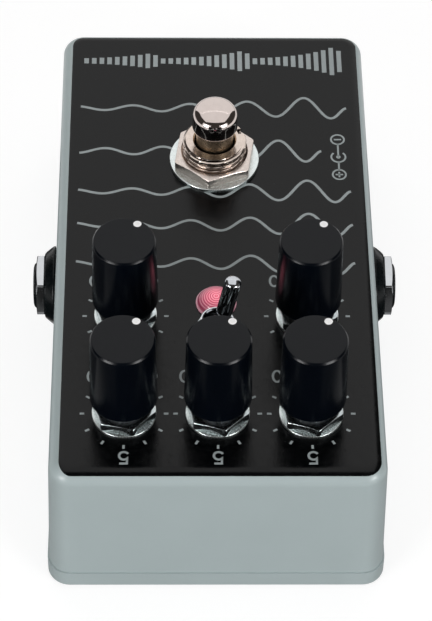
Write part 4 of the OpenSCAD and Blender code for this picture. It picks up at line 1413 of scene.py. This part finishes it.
@dataclass(frozen=True)
class Toggle(Fitting):
    """The small toggle switch: a leaning lever in a threaded bushing with its nut."""

    thread_r: float = 3.05
    thread_foot: float = 1.6
    pitch: float = 0.7
    depth: float = 0.26
    ball_r: float = 2.3
    bore: float = 2.4
    neck_r: float = 1.15
    neck_foot: float = 1.0
    taper_foot: float = 3.7
    taper_l: float = 4.2
    tip_r: float = 1.5
    lever_l: float = 15.6
    dome: float = 0.95
    lean: float = 10.5
    nut_af: float = 8.0
    nut_t: float = 1.8
    washer_r: float = 4.2
    washer_t: float = 0.5

    @property
    def pivot(self) -> Array:
        """The middle of the ball that the lever turns in."""
        return self.packed.pivots["toggle_throw"]

    def leaned(self, skin: Skin) -> Skin:
        """Sets a skin on the joint's pivot, leaning to the player's left."""
        return skin.turned(-self.lean, Axis.Y).moved(*self.pivot)

    def ball(self) -> Skin:
        """The ball that the lever turns on, a lathe of a half circle, near-black as painted shade down in
        the bushing.
        """
        turn = np.linspace(math.pi, 0, 32)
        return self.leaned(lathe(self.ball_r * np.stack([np.sin(turn), np.cos(turn)], 1), 72))

    def lever(self) -> Skin:
        """A slim neck that widens to the tip, and a domed end.

        The neck widens by s^2 (3 - 2s) for s from 0 to 1, and the end is an ellipse
        (tip radius times cos a, dome height times sin a).

        Returns:
            The lever in its place.
        """
        s = np.linspace(0, 1, 14)
        taper = np.stack([self.neck_r + (self.tip_r - self.neck_r) * s * s * (3 - 2 * s),
                          self.taper_foot + self.taper_l * s], 1)
        end = np.radians(np.linspace(0, 90, 20))
        end = np.stack([self.tip_r * np.cos(end), self.lever_l + self.dome * (np.sin(end) - 1)], 1)
        foot = np.array([[0.0, self.neck_foot], [self.neck_r, self.neck_foot]])
        return self.leaned(lathe(np.concatenate([foot, taper, end]), 72))

    def bushing(self) -> Skin:
        """The threaded bushing, its straight bore closed under the ball by a round seat.

        Returns:
            The bushing in its place.
        """
        foot, ring = self.panel + self.thread_foot, self.packed.high("toggle_bushing")[2]
        thread = Thread(self.thread_r, self.pitch, self.depth, foot, ring, chamfer=0.2)
        x, y, z = self.pivot
        seat = np.radians(np.linspace(90, 0, 12))
        cup = [(self.bore * math.sin(a), z - self.bore * math.cos(a)) for a in seat]
        below = [*cup, (0.0, self.under), (self.thread_r, self.under), (self.thread_r, foot - 0.1)]
        return thread.bushing(self.bore, below, 120).moved(x, y)

    def build(self) -> None:
        """Makes what shows of the switch and dresses its housing and lugs."""
        piece("toggle_lever_turned", self.lever(), "lever", LEVER, ("toggle_lever",), 50)
        # The ball is near-black as painted shade inside the bushing
        piece("toggle_ball_turned", self.ball(), "lever", BALL_SHADE)
        piece("toggle_bushing_threaded", self.bushing(), PEDAL, CHROME,
              ("toggle_bushing",))
        at, z = self.pivot[:2], self.panel + self.washer_t
        nut = hexagon_nut(self.nut_af, self.thread_r + NUT_PLAY, z, z + self.nut_t)
        piece("toggle_nut_plated", nut.moved(*at), PEDAL, PLATED_NUT, ("toggle_nut",), 20)
        ring = washer(self.washer_r, self.thread_r + WASHER_PLAY, self.panel, z)
        piece("toggle_washer_plated", ring.moved(*at), PEDAL, ZINC, ("toggle_washer",))
        self.packed.dress("toggle_housing", RED)
        self.packed.dress("toggle_lugs", TINNED)


@dataclass(frozen=True)
class Lens(Fitting):
    """The lit red lens with rings moulded in its dome, and the lamp under it."""

    radius: float = 3.7
    height: float = 2.1
    rim: float = 0.45
    dome_r: float = 3.45
    dome_edge: float = 3.35
    skirt_r: float = 3.1
    skirt_l: float = 1.5
    lamp_r: float = 2.55
    lamp_mid: float = 29.6
    rings: int = 8
    ring_t: float = 0.06

    def dome(self) -> Skin:
        """Rim, ringed dome and hollow skirt.

        The dome is z = rim + (height - rim) sqrt(1 - (r / R)^2) less ring depth times
        1 - cos(2 pi rings r / R), with R the dome's radius, and ends at its edge.

        Returns:
            The lens on its axis.
        """
        r = self.dome_edge * np.linspace(1, 0, 14 * self.rings)
        z = self.rim + (self.height - self.rim) * np.sqrt(1 - (r / self.dome_r) ** 2)
        z = self.panel + z - self.ring_t * (1 - np.cos(2 * math.pi * self.rings * r / self.dome_r))
        top = np.stack([r, z], 1)
        arc = np.radians(np.linspace(90, 0, 12))
        hollow = np.stack([self.lamp_r * np.cos(arc), self.lamp_mid + self.lamp_r * np.sin(arc)], 1)
        low, ledge, steps = self.under - self.skirt_l, self.panel + self.rim, 5
        corners = np.array([[self.lamp_r, low], [self.skirt_r, low], [self.skirt_r, self.panel],
                            [self.radius, self.panel], [self.radius, ledge], [self.radius - 0.3, ledge]])
        edge = eased(corners, np.array([0, 0.1, 0, 0.05, 0.14, 0]), steps)[steps:]
        return lathe(np.concatenate([corners[:1], edge, top, hollow]), 128)

    def build(self) -> None:
        """Makes the lens and dresses the lamp."""
        at = self.packed.middle("led")[:2]
        glass = LitLens("lit_red_lens", (190, 60, 95), rough=0.16, rough_vary=0.03, vary=0.02, patch=3,
                        relief=Relief.PLATED, grain=1.5, depth=0.003, coat=1.0, coat_rough=0.08,
                        axis=tuple(at), pitch=self.dome_r / self.rings, reach=self.radius)
        piece("led_lens_ringed", self.dome().moved(*at), PEDAL, glass, ("led_lens",), 60)
        self.packed.smoothed("led_lamp", "led", PEDAL, "lamp_red", LAMP)


@dataclass(frozen=True)
class Sockets(Fitting):
    """The two audio jacks in the side walls, their bezels and nuts, and the power inlet."""

    bezel_r: float = 7.4
    face_r: float = 5.95
    bezel_t: float = 2.0
    nose_r: float = 4.4
    nut_af: float = 11.0
    nut_t: float = 1.5
    nut_turn: float = 19.0

    def on_wall(self, skin: Skin, side: Side) -> Skin:
        """Turns a skin's axis out of a side wall and its x axis up.

        The skin's zero comes to the seat, which is the bezels' outer face less their
        thickness.

        Args:
            skin: The surface, its axis along z.
            side: The wall.

        Returns:
            The surface in its place.
        """
        half = 180.0 if side is Side.RIGHT else 0.0
        seat = self.packed.high("jack_bezels")[0] - self.bezel_t
        turned = skin.turned(half).turned(side.value * 90.0, Axis.Y)
        return turned.moved(side.value * seat, *self.packed.middle("jack_bezels")[1:])

    def bezel(self) -> Skin:
        """A round bezel whose slanting edge is broken by a shallow step.

        Returns:
            The bezel on its own axis, its back at zero.
        """
        r0, r1, t = self.bezel_r, self.face_r, self.bezel_t
        inner = self.nose_r + NUT_PLAY
        corners = np.array([[inner, 0], [r0, 0], [r0, 0.3], [r0 - 0.35 * (r0 - r1), 0.5 * t],
                            [r1 + 0.25 * (r0 - r1), 0.85 * t], [r1, t], [inner, t]])
        return lathe(eased(corners, np.array([0, 0.1, 0.12, 0.3, 0.3, 0.12, 0.05])), 120)

    def build(self) -> None:
        """Makes bezels and nuts on both walls and dresses the sockets."""
        bezels = Skin.joined([self.on_wall(self.bezel(), side) for side in Side])
        piece("jack_bezels_moulded", bezels, PEDAL, SOCKET, ("jack_bezels",))
        nut = hexagon_nut(self.nut_af, self.nose_r + NUT_PLAY, self.bezel_t, self.bezel_t + self.nut_t)
        nuts = [self.on_wall(nut.turned(side.value * self.nut_turn), side) for side in Side]
        piece("jack_nuts_plated", Skin.joined(nuts), PEDAL, CHROME, ("jack_nuts",), 20)
        for node in ("input_jack", "output_jack", "dc_inlet"):
            self.packed.smoothed(node + "_moulding", node, PEDAL, "socket_black", SOCKET)
        self.packed.smoothed("dc_centre_pin_turned", "dc_centre_pin", PEDAL, "bright_chrome", CHROME)
        self.packed.dress("jack_springs", SPRING)
        self.packed.dress("jack_pins", TINNED)
        self.packed.dress("dc_pins", TINNED)


@dataclass(frozen=True)
class Boards(Fitting):
    """The two circuit boards, the ribbon cable between them and the parts they carry."""

    finishes: dict[str, Finish] = field(default_factory=lambda: {
        "main_board": BOARD, "jack_board": BOARD, "board_headers": INNER, "delay_chip": INNER,
        "small_chips": INNER, "film_capacitors": FILM, "chip_resistors": CERAMIC})

    def build(self) -> None:
        """Dresses the boards and their parts."""
        for node, finish in self.finishes.items():
            self.packed.dress(node, finish)
        self.packed.smoothed("ribbon_cable_looped", "ribbon_cable", PEDAL, "ribbon_grey", RIBBON)
        self.packed.smoothed("filter_capacitor_cans", "filter_capacitors", PEDAL, "capacitor_blue",
                             CAN_BLUE)


# Studio


@dataclass(frozen=True)
class Studio:
    """A pale floor, soft lamps and the camera at the picture's view."""

    ambient: float = 0.05
    ambient_shade: tuple[float, float, float] = (1.0, 0.92, 0.85)
    floor_half: float = 3.0
    floor_down: float = 0.00005
    floor_shade: float = 0.3
    floor_white: float = 0.78
    card_up: float = 0.0005
    # Cards seen only in reflections: the dark ones are painted shade of the floor beside the pedal, the
    # bright lamp card painted light of the lit floor further out
    cards: tuple[tuple[str, tuple[float, float], tuple[float, float], float], ...] = (
        ("foot", (22, 60), (36, 80), 0.26), ("near", (22, 60), (80, 150), 0.08),
        ("lamp", (22, 60), (150, 600), 0.8), ("side", (60, 140), (36, 90), 0.03))
    eye: tuple[float, float, float] = (8.216, 331.483, 396.886)
    target: tuple[float, float, float] = (-0.31, 3.70, 15.0)
    roll: float = 1.19
    lens_mm: float = 154.91

    def camera(self) -> None:
        """Places the camera at the picture's view.

        The image's right and up are turned by the roll: right' = right cos + up sin,
        up' = up cos - right sin.
        """
        data = bpy.data.cameras.new("picture_camera")
        data.lens, data.sensor_width = self.lens_mm, 36.0
        data.clip_start, data.clip_end = 0.01, 20.0
        thing = bpy.data.objects.new("picture_camera", data)
        bpy.context.scene.collection.objects.link(thing)
        eye, target = Vector(self.eye) * MM, Vector(self.target) * MM
        back = (eye - target).normalized()
        right = Vector((0, 0, 1)).cross(back).normalized()
        up = back.cross(right)
        c, s = math.cos(math.radians(self.roll)), math.sin(math.radians(self.roll))
        right, up = right * c + up * s, up * c - right * s
        place = Matrix((right, up, back)).transposed().to_4x4()
        place.translation = eye
        thing.matrix_world = place
        bpy.context.scene.camera = thing

    def lamp(self, name: str, place: tuple[float, float, float], target: tuple[float, float, float],
             size: tuple[float, float], radiance: float) -> None:
        """Hangs a soft rectangular lamp.

        A lamp of radiance L and area A gives pi times A times L watts.

        Args:
            name: Name of the lamp.
            place: Its middle in millimetres.
            target: The point that it faces.
            size: Width and height in millimetres.
            radiance: Its brightness, where 1 is white.
        """
        data = bpy.data.lights.new(name, "AREA")
        data.shape = "RECTANGLE"
        data.size, data.size_y = size[0] * MM, size[1] * MM
        data.energy = math.pi * data.size * data.size_y * radiance
        thing = bpy.data.objects.new(name, data)
        bpy.context.scene.collection.objects.link(thing)
        away = Vector(place) - Vector(target)
        turn = away.to_track_quat("Z", "Y").to_matrix().to_4x4()
        turn.translation = Vector(place) * MM
        thing.matrix_world = turn
        thing.visible_camera = False

    def world(self) -> None:
        """Fills the room with an even soft light."""
        world = bpy.data.worlds.new("soft_room")
        world.use_nodes = True
        back = world.node_tree.nodes["Background"]
        back.inputs["Color"].default_value = (*self.ambient_shade, 1.0)
        back.inputs["Strength"].default_value = self.ambient
        bpy.context.scene.world = world

    def floor(self) -> None:
        """Lays a pale floor that shows white to the camera and keeps the shadow."""
        half, z = self.floor_half, -self.floor_down
        mesh = bpy.data.meshes.new("studio_floor")
        mesh.from_pydata([(-half, -half, z), (half, -half, z), (half, half, z), (-half, half, z)], [],
                         [(0, 1, 2, 3)])
        material = bpy.data.materials.new("pale_floor")
        material.use_nodes = True
        tree = material.node_tree
        shader = tree.nodes["Principled BSDF"]
        shader.inputs["Base Color"].default_value = (self.floor_shade,) * 3 + (1.0,)
        shader.inputs["Roughness"].default_value = 0.9
        shader.inputs["Specular IOR Level"].default_value = 0.1
        shader.inputs["Emission Color"].default_value = WHITE
        seen = add(tree, "LightPath")
        direct = add(tree, "Math", operation="MAXIMUM")
        either = add(tree, "Math", operation="MAXIMUM")
        glow = add(tree, "Math", {1: self.floor_white}, operation="MULTIPLY")
        wire(tree,
             (seen.outputs["Is Camera Ray"], direct.inputs[0]),
             (seen.outputs["Is Glossy Ray"], direct.inputs[1]),
             (direct.outputs["Value"], either.inputs[0]),
             (seen.outputs["Is Transmission Ray"], either.inputs[1]),
             (either.outputs["Value"], glow.inputs[0]),
             (glow.outputs["Value"], shader.inputs["Emission Strength"]))
        mesh.materials.append(material)
        thing = bpy.data.objects.new("studio_floor", mesh)
        bpy.context.scene.collection.objects.link(thing)

    def card(self, name: str, angles: tuple[float, float], reach: tuple[float, float],
             shade: float) -> None:
        """Lays a card on the floor that only glossy surfaces see, as painted shade or light in
        reflections.

        The card is a sector: its points are (r sin a, r cos a), with a from the +y side.

        Args:
            name: Name of the card.
            angles: Its first and last angle in degrees.
            reach: Its inner and outer radius in millimetres.
            shade: Its brightness, where 1 is white.
        """
        count = 9
        turn = np.radians(np.linspace(*angles, count))
        spokes = np.stack([np.sin(turn), np.cos(turn), np.zeros(count)], 1)
        corners = np.concatenate([spokes * reach[0], spokes * reach[1]]) * MM
        corners = corners + np.array([0, 0, self.card_up])
        mesh = bpy.data.meshes.new(name)
        mesh.from_pydata(corners.tolist(), [], grid_quads(2, count, False, False).tolist())
        material = bpy.data.materials.new(name)
        material.use_nodes = True
        shader = material.node_tree.nodes["Principled BSDF"]
        shader.inputs["Base Color"].default_value = BLACK
        shader.inputs["Specular IOR Level"].default_value = 0.0
        shader.inputs["Emission Color"].default_value = WHITE
        shader.inputs["Emission Strength"].default_value = shade
        mesh.materials.append(material)
        thing = bpy.data.objects.new(name, mesh)
        bpy.context.scene.collection.objects.link(thing)
        thing.visible_camera = thing.visible_diffuse = thing.visible_shadow = False

    def build(self) -> None:
        """Sets up the camera, the lamps, the world, the floor and the cards.

        The camera looks from the far end of the pedal, so its left is the side of +x.
        """
        self.camera()
        middle = (0.0, 0.0, 20.0)
        self.lamp("top_softbox", (0, -90, 470), (0, -90, 0), (660, 500), 0.95)
        self.lamp("back_softbox", (0, -330, 265), (0, 0, 265), (660, 410), 0.98)
        for side in Side:
            x = -430.0 * side.value
            name = "front_" + side.name.lower()
            self.lamp(name + "_softbox", (x, 470, 210), middle, (460, 400), 1.1)
            self.lamp(name + "_bulb", (0.98 * x, 460, 195), middle, (240, 200), 12.0)
        self.world()
        self.floor()
        # A near-black card in front: painted shade of the floor before the pedal, seen in reflections
        self.card("front_card", (-22, 22), (45, 600), 0.02)
        for side in Side:
            for part, (first, last), reach, shade in self.cards:
                name = side.name.lower() + "_" + part + "_card"
                self.card(name, (-side.value * first, -side.value * last), reach, shade)
        bpy.context.scene.view_settings.view_transform = "Standard"


def main() -> None:
    """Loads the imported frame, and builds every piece."""
    logging.basicConfig(level=logging.INFO, format="%(name)s %(message)s")
    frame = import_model()
    packed = Packed.read(frame)
    makers = [Studio(), Box(packed), PanelPrint(packed), Potentiometers(packed)]
    makers += [Knob(packed, corner) for corner in CORNERS]
    makers += [Footswitch(packed), Toggle(packed), Lens(packed), Sockets(packed), Boards(packed)]
    for maker in makers:
        maker.build()
        log.info("built %s", type(maker).__name__)


if __name__ == "__main__":
    main()
